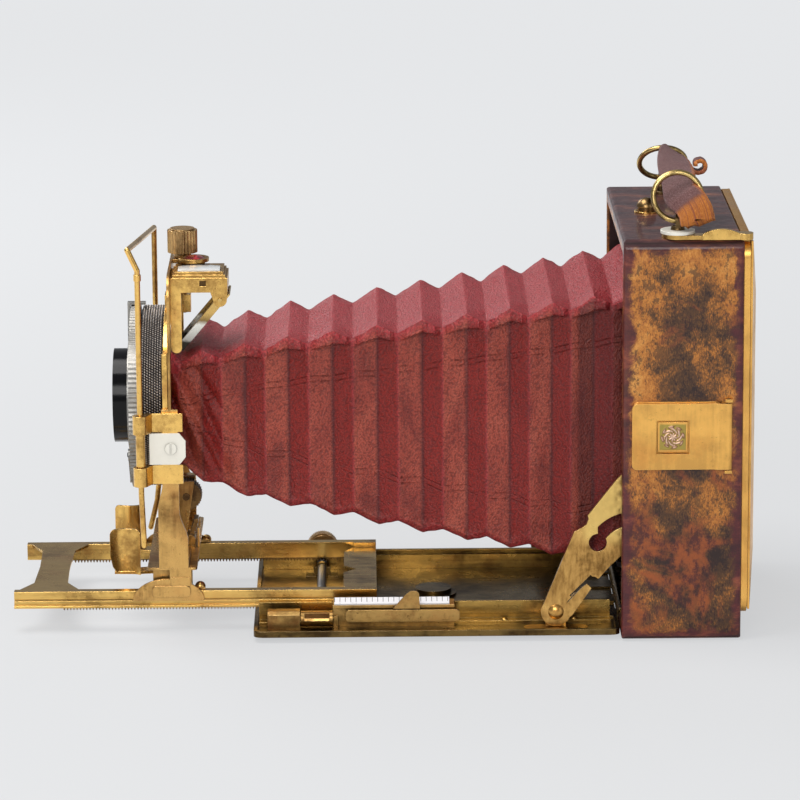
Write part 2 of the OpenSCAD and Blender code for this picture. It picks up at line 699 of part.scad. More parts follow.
module distance_scale() color("#e9e8ec") place() sheet_x([scale_x[0] + 0.6, scale_x[1] - 2])
    polygon([[stop_y + 1.4, 14.1], [stop_y + 1.1, 14.9], [stop_y - 2.2, 13.2], [stop_y - 1.6, 12.5]]);

// Pair of rails joined by two crosspieces
module rail() sheet_x([track_front, track_back]) polygon([[rail_in, rail_z], [slot_y - 0.2, rail_z],
    [slot_y - 0.2, rail_z + 0.9], [rail_out, rail_z + 0.9], [rail_out, groove_low],
    [rail_out - groove_d, groove_low],
    [rail_out - groove_d, groove_low + groove_h], [rail_out, groove_low + groove_h], [rail_out, rail_top],
    [rail_in, rail_top]]);

module track() color(brass) place() {
    both_sides() rail();
    // Front crosspiece, waisted in the middle
    sheet_z([rail_top - 1, rail_top]) both_sides() polygon([[track_front + 2, rail_in],
        [track_front + 7, 24],
        [track_front + 7.6, 0], [track_front + 19.6, 0], [track_front + 20.2, 24],
        [track_front + 25, rail_in]]);
    // Rear crosspiece, notched on its front edge
    sheet_z([rail_top - 3, rail_top - 2]) both_sides() polygon([[track_back, 0], [track_back, rail_in],
        [track_back - 9, rail_in], [track_back - 13, 26], [track_back - 13, 5], [track_back - 8, 0]]);
    both_sides() block([track_back - 9, track_back], [rail_in - 1, rail_in + 0.1], [rail_top - 3, rail_top]);
}

// Racks under both rails, their teeth pointing down
rack_x = [track_front + 17, track_back - 1];
tooth_top = gear_m * 1.0;
tooth_root = gear_m * 1.25;
rack_phase = shaft_x;
rack_first = ceil((rack_x[0] - rack_phase) / tooth_pitch) + 1;
rack_last = floor((rack_x[1] - rack_phase) / tooth_pitch) - 1;
function rack_tooth(x) = [[x - tooth_pitch * 0.36, rack_line + tooth_root],
    [x - tooth_pitch * 0.11, rack_line - tooth_top],
    [x + tooth_pitch * 0.11, rack_line - tooth_top], [x + tooth_pitch * 0.36, rack_line + tooth_root]];
module racks() color(dark_brass) place() both_sides() sheet_y(rack_y) polygon(concat([[rack_x[0], rail_z],
    [rack_x[0], rack_line + tooth_root]],
    [for (i = [rack_first : rack_last], p = rack_tooth(rack_phase + i * tooth_pitch)) p],
    [[rack_x[1], rack_line + tooth_root], [rack_x[1], rail_z]]));

// Pinion whose gap stands under a rack tooth at rest
function pinion_tooth(a, r) = [[r - tooth_root, a - 0.36], [r, a - 0.2], [r + tooth_top * 0.75, a - 0.09],
    [r + tooth_top * 0.75, a + 0.09], [r, a + 0.2], [r - tooth_root, a + 0.36]];
module pinion() polygon([for (i = [0 : pinion_n - 1], p = pinion_tooth(i + 0.5, pitch_r))
    [p[0] * sin(p[1] * 360 / pinion_n), p[0] * cos(p[1] * 360 / pinion_n)]]);

knob_y = [bed_w / 2 + 1, bed_w / 2 + 1 + knob_w];
shaft_end = knob_y[1] + 0.4;
module pinion_shaft() color(dark_brass) place() {
    rod_y(shaft_x, shaft_z, shaft_r, [-rail_out, shaft_end]);
    both_sides() sheet_y(rack_y) translate([shaft_x, shaft_z]) pinion();
    rod_y(shaft_x, shaft_z, 1.75, [-bearing_y + 0.3, bearing_y - 0.3]);
}

module focus_knob() color(dark_brass) place() difference() {
    union() {
        sheet_y([knob_y[0] + 0.8, knob_y[1] - 0.4]) translate([shaft_x, shaft_z]) knurl(knob_r, 0.4, 48);
        rod_y(shaft_x, shaft_z, knob_r - 0.9, knob_y);
    }
    rod_y(shaft_x, shaft_z, shaft_r, [knob_y[0] - 1, shaft_end]);
}

module shaft_bearings() color(brass) place() both_sides() difference() {
    union() {
        block([shaft_x - 3.4, shaft_x + 3.4], [bearing_y, bearing_y + 2.4], [floor_z, shaft_z]);
        rod_y(shaft_x, shaft_z, 3.4 - 1.2, [bearing_y, bearing_y + 2.4]);
        block([shaft_x - 6.4, shaft_x + 6.4], [bearing_y - 3, bearing_y + 2.4], [floor_z, floor_z + 0.8]);
    }
    rod_y(shaft_x, shaft_z, shaft_r + shaft_play, [bearing_y - 1, bearing_y + 4]);
    block([shaft_x - 2.2, shaft_x + 2.2], [bearing_y - 4, bearing_y], [floor_z, shaft_z + 4]);
}

// Sliding base: plate, runners on the rails and half-oval shoes that grip the rails' grooves
lock_x = base_x[1] - 3.6;
pivot_x = std_x - 2;
pivot_y = 14;
grip_z = [base_low - 7, base_low - 5.8];
module base_plate() color(brass) place() {
    sheet_z([base_low, base_top])
        round_rect([base_x[0], -rail_out - 1.5], [base_x[1], rail_out + 1.5], 1.5);
    both_sides() {
        block([base_x[0] + 2, base_x[1] - 2], [rail_in, rail_out - 1.6], [rail_top + run_gap, base_low]);
        sheet_y([rail_out + run_gap, rail_out + 1.5]) {
            polygon([for (a = [0 : 10 : 180]) [std_x + 14 * cos(a), groove_low + 0.2 + 8.8 * sin(a)]]);
            square_from([std_x + 0.6, groove_low + 2], [std_x + 9, base_low]);
        }
        // Raised lug pressed in the shoe, and the step above it
        sheet_y([rail_out + 1.4, rail_out + 2.2]) round_rect([std_x - 6.3, groove_low + 1.9],
            [std_x + 8.5, groove_low + 6.3], 1.6);
        block([std_x + 1.1, std_x + 8.5], [rail_out + 1.4, rail_out + 1.9],
            [groove_low + 6.2, base_low - 2.8]);
        block([std_x - 12, std_x + 12], [rail_out - groove_d + 0.25, rail_out + 0.4],
            [groove_low + 0.2, groove_low + groove_h - 0.2]);
        // Tongue behind each runner with its domed screw
        block([base_x[1] - 3, base_x[1] + 3], [rail_in + 0.4, rail_out - 1],
            [rail_top + run_gap, rail_top + 1.3]);
        translate([base_x[1] + 1, rail_in + 1.6, rail_top + 1.2]) rotate_extrude() intersection() {
            circle(2.1);
            square(3);
        }
        // Pin of each finger grip
        rod_z(pivot_x, pivot_y, 1.5, [grip_z[0] - 0.6, base_low]);
        rod_z(pivot_x, pivot_y, 2.4, [grip_z[0] - 1, grip_z[0] - 0.2]);
        // Upright tabs at the rear edge
        block([base_x[1] - 0.8, base_x[1]], [5.8, 9], [base_top - 0.5, base_top + 8]);
    }
    // Bearing ears of the shift wheel
    both_sides() difference() {
        sheet_y([3.6, 5]) polygon([[shift_x - 3.9, base_top - 0.2], [shift_x - 0.8, base_top - 0.2],
            [shift_x + 0.3, base_top + 5.4], [shift_x + 1.5, base_top + 14.4],
            [shift_x + 3.3, shift_z + 6.3], [shift_x - 3.9, shift_z + 6.3]]);
        rod_y(shift_x, shift_z, screw_r + shaft_play, [3, 6]);
    }
    // Ears and pin of the lock lever
    both_sides() {
        block([lock_x - 1.8, lock_x + 1.8], [4.3, 5.4], [base_top, base_top + 2.2]);
        rod_y(lock_x, base_top + 2.2, 1.8, [4.3, 5.4]);
    }
    rod_y(lock_x, base_top + 2.2, 0.8, [-5, 5]);
}

// Finger grip: lever under the base plate with an upright hollow for the finger
grip_r = 9.4;
module grip() {
    gx = base_x[0] - 9.6;
    difference() {
        union() {
            sheet_z([grip_z[0] + 0.1, grip_z[1]]) {
                translate([pivot_x, pivot_y]) circle(4);
                polygon([[pivot_x - 1, pivot_y - 3.6], [base_x[0] - 4, pivot_y - 1],
                    [gx - 4.4, pivot_y + 1.6], [gx - 4.4, pivot_y + 5], [base_x[0] - 4, pivot_y + 5.4],
                    [pivot_x + 2, pivot_y + 3.4]]);
                polygon([[pivot_x, pivot_y - 3], [pivot_x + 8, pivot_y + 3], [pivot_x + 8, pivot_y + 6],
                    [pivot_x, pivot_y + 3]]);
            }
            rod_z(pivot_x, pivot_y, 3, [grip_z[0] + 0.1, base_low - run_gap]);
        }
        rod_z(pivot_x, pivot_y, 1.55, [grip_z[0] - 1, base_low]);
    }
    intersection() {
        difference() {
            rod_z(gx, pivot_y + 13, grip_r, [grip_z[0] + 0.1, base_top + 10.6]);
            rod_z(gx, pivot_y + 13, grip_r - 0.9, [grip_z[0] - 1, base_top + 12]);
        }
        sheet_y([0, pivot_y + 8]) translate([gx, 0]) union() {
            round_rect([-6, grip_z[1] + 5], [6, base_top + 10.4], 2);
            polygon([[-6, grip_z[1] + 7], [6, grip_z[1] + 7], [6, grip_z[0]], [-3, grip_z[0]],
                [-5, grip_z[1] + 2]]);
        }
    }
}

module grip_near() color(brass) place() mirror([0, 1, 0]) grip();

module grip_far() color(brass) place() grip();

// Ribbed lever that locks the base on the track
module lock_lever() color(dark_brass) place() difference() {
    union() {
        rod_y(lock_x, base_top + 2.2, 1.9, [-3.3, 3.3]);
        for (i = [0 : 4]) {
            block([lock_x - 0.8 + i * 0.5, lock_x + 1 + i * 0.5], [-3.2, 3.2],
                [base_top + 2 + i * 1.6, base_top + 3.9 + i * 1.6]);
        }
    }
    rod_y(lock_x, base_top + 2.2, 0.85, [-6, 6]);
}

// Frame of the standard: foot plate, two stepped arms and the upper plate behind the lens panel
function arm_left(z) = std_x - 3.4 + 1.9 * ease((z - frame_low - 24) / 10);
function arm_right(z) = std_x + 8.1 - 3.25 * ease((z - frame_low - 11) / 12);
arm_top = clip_z[3] + 1.2;
module arm_outline() {
    levels = [for (z = [frame_low + 10 : 2 : frame_low + 36]) z];
    polygon(concat([[arm_left(frame_low), frame_low]], [for (z = levels) [arm_left(z), z]],
        [[arm_left(arm_top), arm_top], [arm_right(arm_top), arm_top]],
        [for (i = [len(levels) - 1 : -1 : 0]) [arm_right(levels[i]), levels[i]]],
        [[arm_right(frame_low), frame_low]]));
}

module standard_frame() color(brass) place() {
    both_sides() {
        sheet_y([arm_y, arm_out]) arm_outline();
        // Lips that guide the lens panel
        block([panel_front - 1.1, panel_front - run_gap], [arm_y - 1.8, arm_out],
            [clip_z[0] + 1.6, clip_z[3] - 0.4]);
    }
    difference() {
        block([arm_left(frame_low), arm_right(frame_low)], [-arm_out, arm_out],
            [frame_low, frame_low + sheet_t]);
        block([std_x + 1.2, std_x + 40], [-14, 14], [frame_low - 1, frame_low + 3]);
    }
    // Upper plate, open for the collar of the bellows and slotted for the rise screw's nut
    sheet_x(plate_x) difference() {
        round_rect([-arm_out, clip_z[0] + 4], [arm_out, frame_top], 9);
        square_from([-arm_y + 6.5, clip_z[0] - 1], [arm_y - 6.5, lens_z + 35]);
        square_from([-4.4, lens_z + 30], [4.4, frame_top - 4.6]);
    }
    // Nut of the shift screw
    difference() {
        block([shift_x - 3, shift_x + 3], [19, 23], [frame_low, shift_z + 3]);
        rod_y(shift_x, shift_z, screw_r + shaft_play, [18, 24]);
    }
    difference() {
        block([plate_x[0], screw_x + 4], [-4.6, 4.6], [frame_top - 1.6, frame_top]);
        rod_z(screw_x, 0, screw_r + shaft_play, [frame_top - 3, frame_top + 1]);
    }
}

module shift_wheel() color(dark_brass) place() {
    sheet_y([-3.2, 3.2]) translate([shift_x, shift_z]) knurl(wheel_r, 0.5, 36);
    rod_y(shift_x, shift_z, screw_r, [-5.4, 30]);
}

// Rising panel behind the shutter
collar_x = [panel_back - 0.1, panel_back + 1];
module lens_panel() color(brass) place() difference() {
    union() {
        sheet_x([panel_front, panel_back]) {
            translate([0, lens_z]) circle(36.5);
            square_from([-arm_y + 0.35, lens_z - 31], [arm_y - 0.35, lens_z + 25]);
            square_from([-4, lens_z + 20], [4, lens_z + 41]);
        }
        block([panel_back - 0.5, screw_x + 3], [-3, 3], [lens_z + 34, lens_z + 41]);
        // Black collar that carries the narrow end of the bellows
        difference() {
            block(collar_x, [-26.5, 26.5], [lens_z - 24, lens_z + 23]);
            block([panel_back - 1, panel_back + 3], [-24, 24], [lens_z - 22, lens_z + 21]);
        }
    }
    rod_x(0, lens_z, 15.95, [panel_front - 1, panel_back + 1.5]);
    rod_z(screw_x, 0, screw_r + shaft_play, [lens_z + 30, lens_z + 42]);
    // Flat lower edge, clear of the shift wheel
    block([panel_front - 1, panel_back + 0.5], [-arm_y, arm_y], [lens_z - 40, lens_z - 31.6]);
}

// Screw and knob of the rising front
module rise_screw() color(dark_brass) place() {
    rod_z(screw_x, 0, screw_r, [lens_z + 33.4, frame_top + 6]);
    rod_z(screw_x, 0, 3.4, [frame_top + 0.05, frame_top + 2.2]);
    translate([screw_x, 0, frame_top + 2]) linear_extrude(9) knurl(5.9, 0.5, 26);
    rod_z(screw_x, 0, 4.8, [frame_top + 10.8, frame_top + 11.6]);
    rod_z(screw_x, 0, 2.1, [frame_top - 2.9, frame_top - 1.65]);
}

// Clip on the near arm with two rolls round the wire
module wire_clip() color(brass) place() difference() {
    union() {
        sheet_y([-arm_out - 1.4, -arm_out]) {
            square_from([std_x - 5.5, clip_z[0]], [std_x + 6.7, clip_z[1]]);
            square_from([std_x - 5.5, clip_z[2]], [std_x + 6.7, clip_z[3]]);
            square_from([std_x - 1.4, clip_z[0]], [std_x + 4.7, clip_z[3]]);
        }
        for (z = [[clip_z[0], clip_z[1]], [clip_z[2], clip_z[3]]]) {
            rod_z(wire_x, -wire_y, 2.9, z);
            sheet_z(z) polygon([[wire_x + 1, -wire_y - 1.6], [wire_x + 2.6, -wire_y - 1],
                [std_x - 5, -arm_out - 1.4], [std_x - 5, -arm_out], [wire_x + 2, -arm_out - 0.6],
                [wire_x, -wire_y + 2.6]]);
        }
    }
    rod_z(wire_x, -wire_y, wire_r + shaft_play, [clip_z[0] - 1, clip_z[3] + 1]);
}

// White metal plate with its screw
module clip_plate() color("#dedbd0") place() {
    sheet_y([-arm_out - 2.3, -arm_out - 1.4]) polygon([[std_x - 6.2, clip_z[1] + 0.4],
        [std_x + 5.4, clip_z[1] + 0.4], [std_x + 7.8, clip_z[1] + 3.4], [std_x + 7.8, clip_z[2] - 3.4],
        [std_x + 5.4, clip_z[2] - 0.4], [std_x - 6.2, clip_z[2] - 0.4]]);
    difference() {
        rod_y(std_x + 2.1, 74.6, 2.2, [-arm_out - 2.9, -arm_out - 2.2]);
        block([std_x + 1.7, std_x + 2.5], [-arm_out - 3, -arm_out - 2.6], [72, 79]);
    }
}

// Wire frame that turns in the clip
module wire_frame() color(brass) place() {
    points = [[wire_x + 0.7, -wire_y, 36.4], [wire_x, -wire_y, 57], [wire_x, -wire_y, wire_top - 8],
        [wire_x - 3.6, -wire_y, wire_top], [wire_x + 2.4, wire_y, wire_top - 8.8],
        [wire_x + 2.4, wire_y, 38], [wire_x + 1.6, wire_y, 31], [wire_x, wire_y, 24.6],
        [wire_x - 1.2, wire_y, 19.8]];
    bent_wire(points, wire_r);
    translate(points[0]) sphere(wire_r + 0.02);
    translate(points[8]) sphere(wire_r + 0.02);
    rod_z(wire_x, -wire_y, wire_r + 0.7, [clip_z[1] + 0.3, clip_z[2] - 0.3]);
    rod_z(wire_x, -wire_y, wire_r + 0.35, [wire_top - 12, wire_top - 9.6]);
}

// Shutter: knurled drum, flange, raised face and neck
module shutter_case() color(black) place() difference() {
    union() {
        rod_x(0, lens_z, drum_r, [drum_front, drum_back]);
        rod_x(0, lens_z, drum_r - 1.5, [ring_x[1] + run_gap, drum_front + 0.1]);
        rod_x(0, lens_z, boss_r, [face_front, drum_front]);
        rod_x(0, lens_z, 21, [drum_back, panel_front]);
        rod_x(0, lens_z, 23, [lever_x[1] + run_gap, face_front]);
        // Pivot of the release lever
        rod_x(-18, lens_z - 20, 0.9, [lever_x[0] - 0.4, face_front]);
        rod_x(-18, lens_z - 20, 2.2, [lever_x[1] + 0.1, face_front]);
    }
    rod_x(0, lens_z, 15.95, [face_front - 1, panel_front + 1]);
    rod_x(0, lens_z, 16.75, [lever_x[0] - 1, face_front]);
}

module speed_ring() color(silver) place() difference() {
    sheet_x(ring_x) translate([0, lens_z]) knurl(ring_r, 0.35, 120);
    rod_x(0, lens_z, boss_r + run_gap, [ring_x[0] - 1, ring_x[1] + 1]);
}

// Lever on the barrel whose tip bends back over the ring
lever_x = [ring_x[0] - 1.3, ring_x[0] - 0.3];
module cocking_lever() color(silver) place() difference() {
    union() {
        rod_x(0, lens_z, 22, lever_x);
        sheet_x(lever_x) polygon([[-3.4, lens_z + 19], [3.4, lens_z + 19], [1.6, lens_z + ring_r + 1.3],
            [-1.6, lens_z + ring_r + 1.3]]);
        block([lever_x[0], drum_front + 1], [-1.6, 1.6], [lens_z + ring_r + 0.4, lens_z + ring_r + 1.3]);
    }
    rod_x(0, lens_z, 16.7 + 0.3, [lever_x[0] - 1, lever_x[1] + 1]);
}

module release_lever() color(silver) place() difference() {
    sheet_x([lever_x[0], lever_x[1]]) translate([-18, lens_z - 20]) rotate(42) {
        circle(2.4);
        square_from([-1.3, -16], [1.3, 0]);
        translate([0, -16]) circle(2);
    }
    rod_x(-18, lens_z - 20, 0.95, [lever_x[0] - 1, face_front]);
}

module lens_barrel() color(black) place() difference() {
    union() {
        rod_x(0, lens_z, barrel_r, [barrel_front, lever_x[0] - run_gap]);
        rod_x(0, lens_z, 16.7, [lever_x[0] - 1, face_front]);
        rod_x(0, lens_z, 15.9, [face_front - 0.1, panel_front + 1]);
    }
    rod_x(0, lens_z, glass_r, [barrel_front - 1, panel_front + 2]);
    // Bevelled mouth
    translate([barrel_front - 0.01, 0, lens_z]) rotate([0, 90, 0])
        cylinder(h = 2.3, r1 = glass_r + 2.6, r2 = glass_r);
}

// Front element, a fine gap inside its barrel
module lens_glass() color("#9fb6c4") place() {
    translate([barrel_front + 2.4, 0, lens_z]) rotate([0, 90, 0]) rotate_extrude() intersection() {
        translate([0, 26]) circle(26, $fn = 96);
        square([glass_r - 0.02, 4.6]);
    }
}

module rear_cell() color(black) place() difference() {
    union() {
        rod_x(0, lens_z, 15.5, [panel_front + 1.2, panel_back + 9]);
        rod_x(0, lens_z, 18, [panel_back + 0.05, panel_back + 2]);
    }
    rod_x(0, lens_z, 12.5, [panel_front, panel_back + 4]);
    rod_x(0, lens_z, 11, [panel_front, panel_back + 10]);
}

// Brilliant finder: front web with its taking lens, cheeks, hood and ears for the mirror
module finder_body() color(brass) place() difference() {
    union() {
        sheet_x([finder_x[0], finder_x[0] + 1]) square_from([finder_y[0], web_low],
            [finder_y[1], finder_z + 1]);
        cheek(finder_y[0], column_low);
        cheek(finder_y[1] - 1, cheek_far_low);
        difference() {
            block(finder_x, finder_y, [finder_z, finder_z + finder_h]);
            block([finder_x[0] + 1, finder_x[1] - 1], [finder_y[0] + 1, finder_y[1] - 1],
                [finder_z - 1, finder_z + finder_h - 1]);
        }
        // Bevel round the top, cut in two steps
        finder_step(0.8, finder_z + finder_h - 0.1, finder_top - 1.1);
        finder_step(1.6, finder_top - 1.2, finder_top);
        // Pad and bezel of the jewel
        rod_z(jewel_x, jewel_y, 4.4, [finder_top - 1, finder_top + 1.1]);
        rod_z(jewel_x, jewel_y, 6, [finder_top + 1, finder_top + 2.4]);
    }
    block([finder_x[0] + 2.8, finder_x[1] - 2.8], [finder_y[0] + 2.8, jewel_y - 6.3],
        [finder_top - 0.7, finder_top + 1]);
    rod_z(jewel_x, jewel_y, 4.5, [finder_top + 1.4, finder_top + 3]);
    rod_x((finder_y[0] + finder_y[1]) / 2, finder_z - 5.4, 4.6, [finder_x[0] - 1, finder_x[0] + 5]);
    rod_y(mirror_pivot[0], mirror_pivot[1], 0.85, [finder_y[0] - 1, finder_y[1] + 1]);
    block([finder_x[0] + 11.3, finder_x[0] + 13.9], [finder_y[0] - 1, finder_y[0] + 0.6],
        [finder_z + 2.5, finder_z + 4.7]);
}

module finder_step(inset, low, high) block([finder_x[0] + inset, finder_x[1] - inset],
    [finder_y[0] + inset, finder_y[1] - inset], [low, high]);

// Side of the finder: front strip with a round foot, and the ear of the mirror's rivet
module cheek(y, low) sheet_y([y, y + 1]) {
    square_from([finder_x[0], low + 2.1], [finder_x[0] + 4.2, finder_z + 1]);
    translate([finder_x[0] + 2.1, low + 2.1]) circle(2.1);
    translate(mirror_pivot) circle(2.7);
    polygon([mirror_pivot + [-2.7, 0], mirror_pivot + [2.7, 0], [finder_x[1], finder_z + 1],
        [finder_x[1] - 7, finder_z + 1]]);
}

// Mirror on its slanting carrier, and the leaf behind the hood
mirror_len = norm(mirror_foot - mirror_pivot);
mirror_tilt = atan2(mirror_pivot[1] - mirror_foot[1], mirror_pivot[0] - mirror_foot[0]);
mirror_y = [finder_y[0] + 1.2, finder_y[1] - 1.2];
module finder_mirror() color(silver) place() {
    translate([mirror_foot[0], 0, mirror_foot[1]]) rotate([0, -mirror_tilt, 0]) {
        block([-1.5, mirror_len + 3.8], mirror_y, [-1.9, -1.2]);
        block([1, mirror_len - 4], mirror_y + [1.8, -1.8], [-1.3, -0.2]);
        for (y = [mirror_y[0], mirror_y[1] - 0.8]) block([-1.5, mirror_len + 1.5], [y, y + 0.8],
            [-1.9, 1.1]);
    }
    rod_y(mirror_pivot[0], mirror_pivot[1], 0.8, [finder_y[0] - 0.5, finder_y[1] + 0.5]);
}

// Red jewel in its bezel on top of the finder
module level_jewel() color("#7a1018") place() translate([jewel_x, jewel_y, finder_top + 1.4])
    rotate_extrude() intersection() {
        translate([0, -7.2]) circle(9.1);
        square([4.4, 6]);
    }

// Bellows: rings of eight corners, drawn in at each valley, widening to the back
bellows_x = [collar_x[1] + 0.1, hollow_d - 4];
ridge_back = 21.4;
ridge_n = floor((ridge_back - bellows_x[0]) / fold_pitch);
bellows_span = bellows_x[1] - bellows_x[0];
function taper(x) = (bellows_x[1] - x) / bellows_span;
function half_w(x) = 49.5 - 22.5 * taper(x);
function top_z(x) = 146 - 37.4 * taper(x);
function low_z(x) = 33 + 9 * taper(x) + 21.5 * pow(taper(x), 6);
corner_cut = 6;
side_fold = 0.6;
function bellows_ring(x, inset, skin) = let (w = half_w(x) - (fold_depth - inset) * side_fold - skin,
    t = top_z(x) - inset - skin, b = low_z(x) + inset + skin, c = corner_cut)
    [for (p = cut_rect([-w, b], [w, t], c)) [x, p[0], p[1]]];
bellows_steps = concat([[bellows_x[0], fold_depth * 0.5]], [for (k = [ridge_n : -1 : 0], s = [0, 1])
    [ridge_back - k * fold_pitch + s * fold_pitch / 2, s * fold_depth]], [[bellows_x[1], 1]]);
// Corners of one face between two rings of n points
function skin(k, i, n, first) = let (a = first + k * n, j = (i + 1) % n)
    [a + i, a + n + i, a + n + j, a + j];

module bellows() color(leather_red) place() {
    outer = [for (s = bellows_steps) bellows_ring(s[0], s[1], 0)];
    inner = [for (s = bellows_steps) bellows_ring(s[0], s[1], leather_t)];
    m = len(bellows_steps);
    n = 8;
    all_points = concat([for (ring = outer, p = ring) p], [for (ring = inner, p = ring) p]);
    o = m * n;
    quads = concat([for (k = [0 : m - 2], i = [0 : n - 1]) skin(k, i, n, 0)],
        [for (k = [0 : m - 2], i = [0 : n - 1]) let (q = skin(k, i, n, o)) [q[3], q[2], q[1], q[0]]],
        [for (i = [0 : n - 1]) [i, (i + 1) % n, o + (i + 1) % n, o + i]],
        [for (i = [0 : n - 1]) let (e = (m - 1) * n, j = (i + 1) % n) [e + j, e + i, o + e + i, o + e + j]]);
    polyhedron(all_points, [for (q = quads, t = [[0, 1, 2], [0, 2, 3]]) [q[t[0]], q[t[1]], q[t[2]]]]);
}

body_shell();
body_rails();
plate_frame();
ground_glass();
back_frame();
back_lid();
lid_hinge_pin();
top_latch();
latch_washer();
ring_post_near();
ring_post_far();
ring_near();
ring_far();
handle_strap();
bed_button();
button_bezel();
sight_plate();
sight_flap();
sight_flap_pin();
bed_panel();
bed_tray();
bed_hinge();
bed_hinge_pin();
guides();
tripod_bush();
struts();
strut_fittings();
stop_block();
stop_lever();
scale_carrier();
distance_scale();
track();
racks();
pinion_shaft();
focus_knob();
shaft_bearings();
base_plate();
grip_near();
grip_far();
lock_lever();
standard_frame();
shift_wheel();
lens_panel();
rise_screw();
wire_clip();
clip_plate();
wire_frame();
shutter_case();
speed_ring();
cocking_lever();
release_lever();
lens_barrel();
lens_glass();
rear_cell();
finder_body();
finder_mirror();
level_jewel();
bellows();
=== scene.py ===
import json
import math
from math import cos, sin, pi, radians, sqrt

import bmesh
import bpy
from mathutils import Matrix, Vector, noise


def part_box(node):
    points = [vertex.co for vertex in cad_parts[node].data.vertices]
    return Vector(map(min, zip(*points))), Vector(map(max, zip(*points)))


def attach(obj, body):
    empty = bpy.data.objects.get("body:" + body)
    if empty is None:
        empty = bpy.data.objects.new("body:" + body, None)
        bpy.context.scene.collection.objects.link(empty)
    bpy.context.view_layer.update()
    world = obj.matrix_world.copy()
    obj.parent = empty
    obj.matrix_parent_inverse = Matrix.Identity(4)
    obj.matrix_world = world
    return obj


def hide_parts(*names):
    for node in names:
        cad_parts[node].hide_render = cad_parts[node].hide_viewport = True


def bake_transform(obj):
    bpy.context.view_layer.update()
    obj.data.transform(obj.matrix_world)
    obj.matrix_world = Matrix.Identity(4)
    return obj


bl_info = {
    "name": "Tropical Plate Camera",
    "version": (1, 0, 0),
    "blender": (4, 5, 0),
    "location": "View3D > Sidebar > Plate Camera",
    "description": "Dresses a folding plate camera of lacquered wood, brass and red leather",
    "category": "Object",
}

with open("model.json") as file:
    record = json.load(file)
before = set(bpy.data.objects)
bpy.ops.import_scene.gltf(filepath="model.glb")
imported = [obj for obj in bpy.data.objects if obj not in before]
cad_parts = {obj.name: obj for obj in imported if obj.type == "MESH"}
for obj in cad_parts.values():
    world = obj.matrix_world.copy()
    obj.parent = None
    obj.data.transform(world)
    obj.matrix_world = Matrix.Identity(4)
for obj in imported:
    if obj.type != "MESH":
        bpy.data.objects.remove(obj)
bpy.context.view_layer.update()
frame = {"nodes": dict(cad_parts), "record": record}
NODES = frame["nodes"]
# The body's front face lies this far in front of the frame's origin, in millimetres
BACK = 72.0


# Measures and placing

def mm(x, y, z):
    """A point measured in millimetres from the body's front face, as a point of the row in metres."""
    return Vector(((x + BACK) / 1000, y / 1000, z / 1000))


def low(node):
    return Vector(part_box(node)[0]) * 1000 - Vector((BACK, 0, 0))


def high(node):
    return Vector(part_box(node)[1]) * 1000 - Vector((BACK, 0, 0))


def lerp(a, b, t):
    return a + (b - a) * t


def ease(t):
    t = min(1.0, max(0.0, t))
    return t * t * (3 - 2 * t)


# Mesh helpers

def make(name, verts, faces, material, smooth=True, uvs=None, merge=None):
    """A mesh object in the row frame from points in metres; merge turns its faces outward and joins near points."""
    mesh = bpy.data.meshes.new(name)
    mesh.from_pydata([tuple(v) for v in verts], [], faces)
    mesh.validate()
    for key, values in (uvs or {}).items():
        layer = mesh.uv_layers.new(name=key)
        for loop in mesh.loops:
            layer.data[loop.index].uv = values[loop.vertex_index]
    if merge is not None:
        bm = bmesh.new()
        bm.from_mesh(mesh)
        if merge:
            bmesh.ops.remove_doubles(bm, verts=bm.verts, dist=merge)
        bmesh.ops.recalc_face_normals(bm, faces=bm.faces)
        bm.to_mesh(mesh)
        bm.free()
    for p in mesh.polygons:
        p.use_smooth = smooth
    obj = bpy.data.objects.new(name, mesh)
    bpy.context.scene.collection.objects.link(obj)
    mesh.materials.append(material)
    return obj


def sharpen(obj, degrees=35):
    """Smooth shading with sharp edges past an angle."""
    obj.data.set_sharp_from_angle(angle=radians(degrees))


def bake(obj):
    """The object's modifiers applied, as a plain mesh."""
    graph = bpy.context.evaluated_depsgraph_get()
    mesh = bpy.data.meshes.new_from_object(obj.evaluated_get(graph), depsgraph=graph)
    old = obj.data
    obj.modifiers.clear()
    obj.data = mesh
    if isinstance(old, bpy.types.Mesh):
        bpy.data.meshes.remove(old)
    return obj


def thicken(obj, millimetres):
    """The object's skin given a thickness on its inner side."""
    m = obj.modifiers.new("thickness", "SOLIDIFY")
    m.thickness = millimetres / 1000
    m.offset = -1
    return bake(obj)


def grid(n, point):
    """Points and faces of a square sheet of n by n faces; point(i, j) gives each point."""
    verts = [point(i, j) for j in range(n + 1) for i in range(n + 1)]
    starts = [j * (n + 1) + i for j in range(n) for i in range(n)]
    return verts, [(a, a + 1, a + n + 2, a + n + 1) for a in starts]


def bands(rings, n, base=0):
    """Faces between closed rings of n points each, stored one ring after another from base on."""
    faces = []
    for a in range(base, base + (rings - 1) * n, n):
        faces += [(a + k, a + (k + 1) % n, a + n + (k + 1) % n, a + n + k) for k in range(n)]
    return faces


# Material helpers

class Nodes:
    """A node tree under construction."""

    def __init__(self, tree):
        self.tree = tree

    def node(self, kind, inputs=None, **settings):
        """A new node with its settings, and a value or a link for each of the inputs given."""
        n = self.tree.nodes.new(kind)
        for key, value in settings.items():
            setattr(n, key, value)
        for key, value in (inputs or {}).items():
            self.link(value, n.inputs[key])
        return n

    def link(self, value, socket):
        if isinstance(value, Value):
            value = value.socket
        if isinstance(value, bpy.types.NodeSocket):
            self.tree.links.new(value, socket)
        elif socket.type == "RGBA":
            socket.default_value = (*value, 1)
        else:
            socket.default_value = value


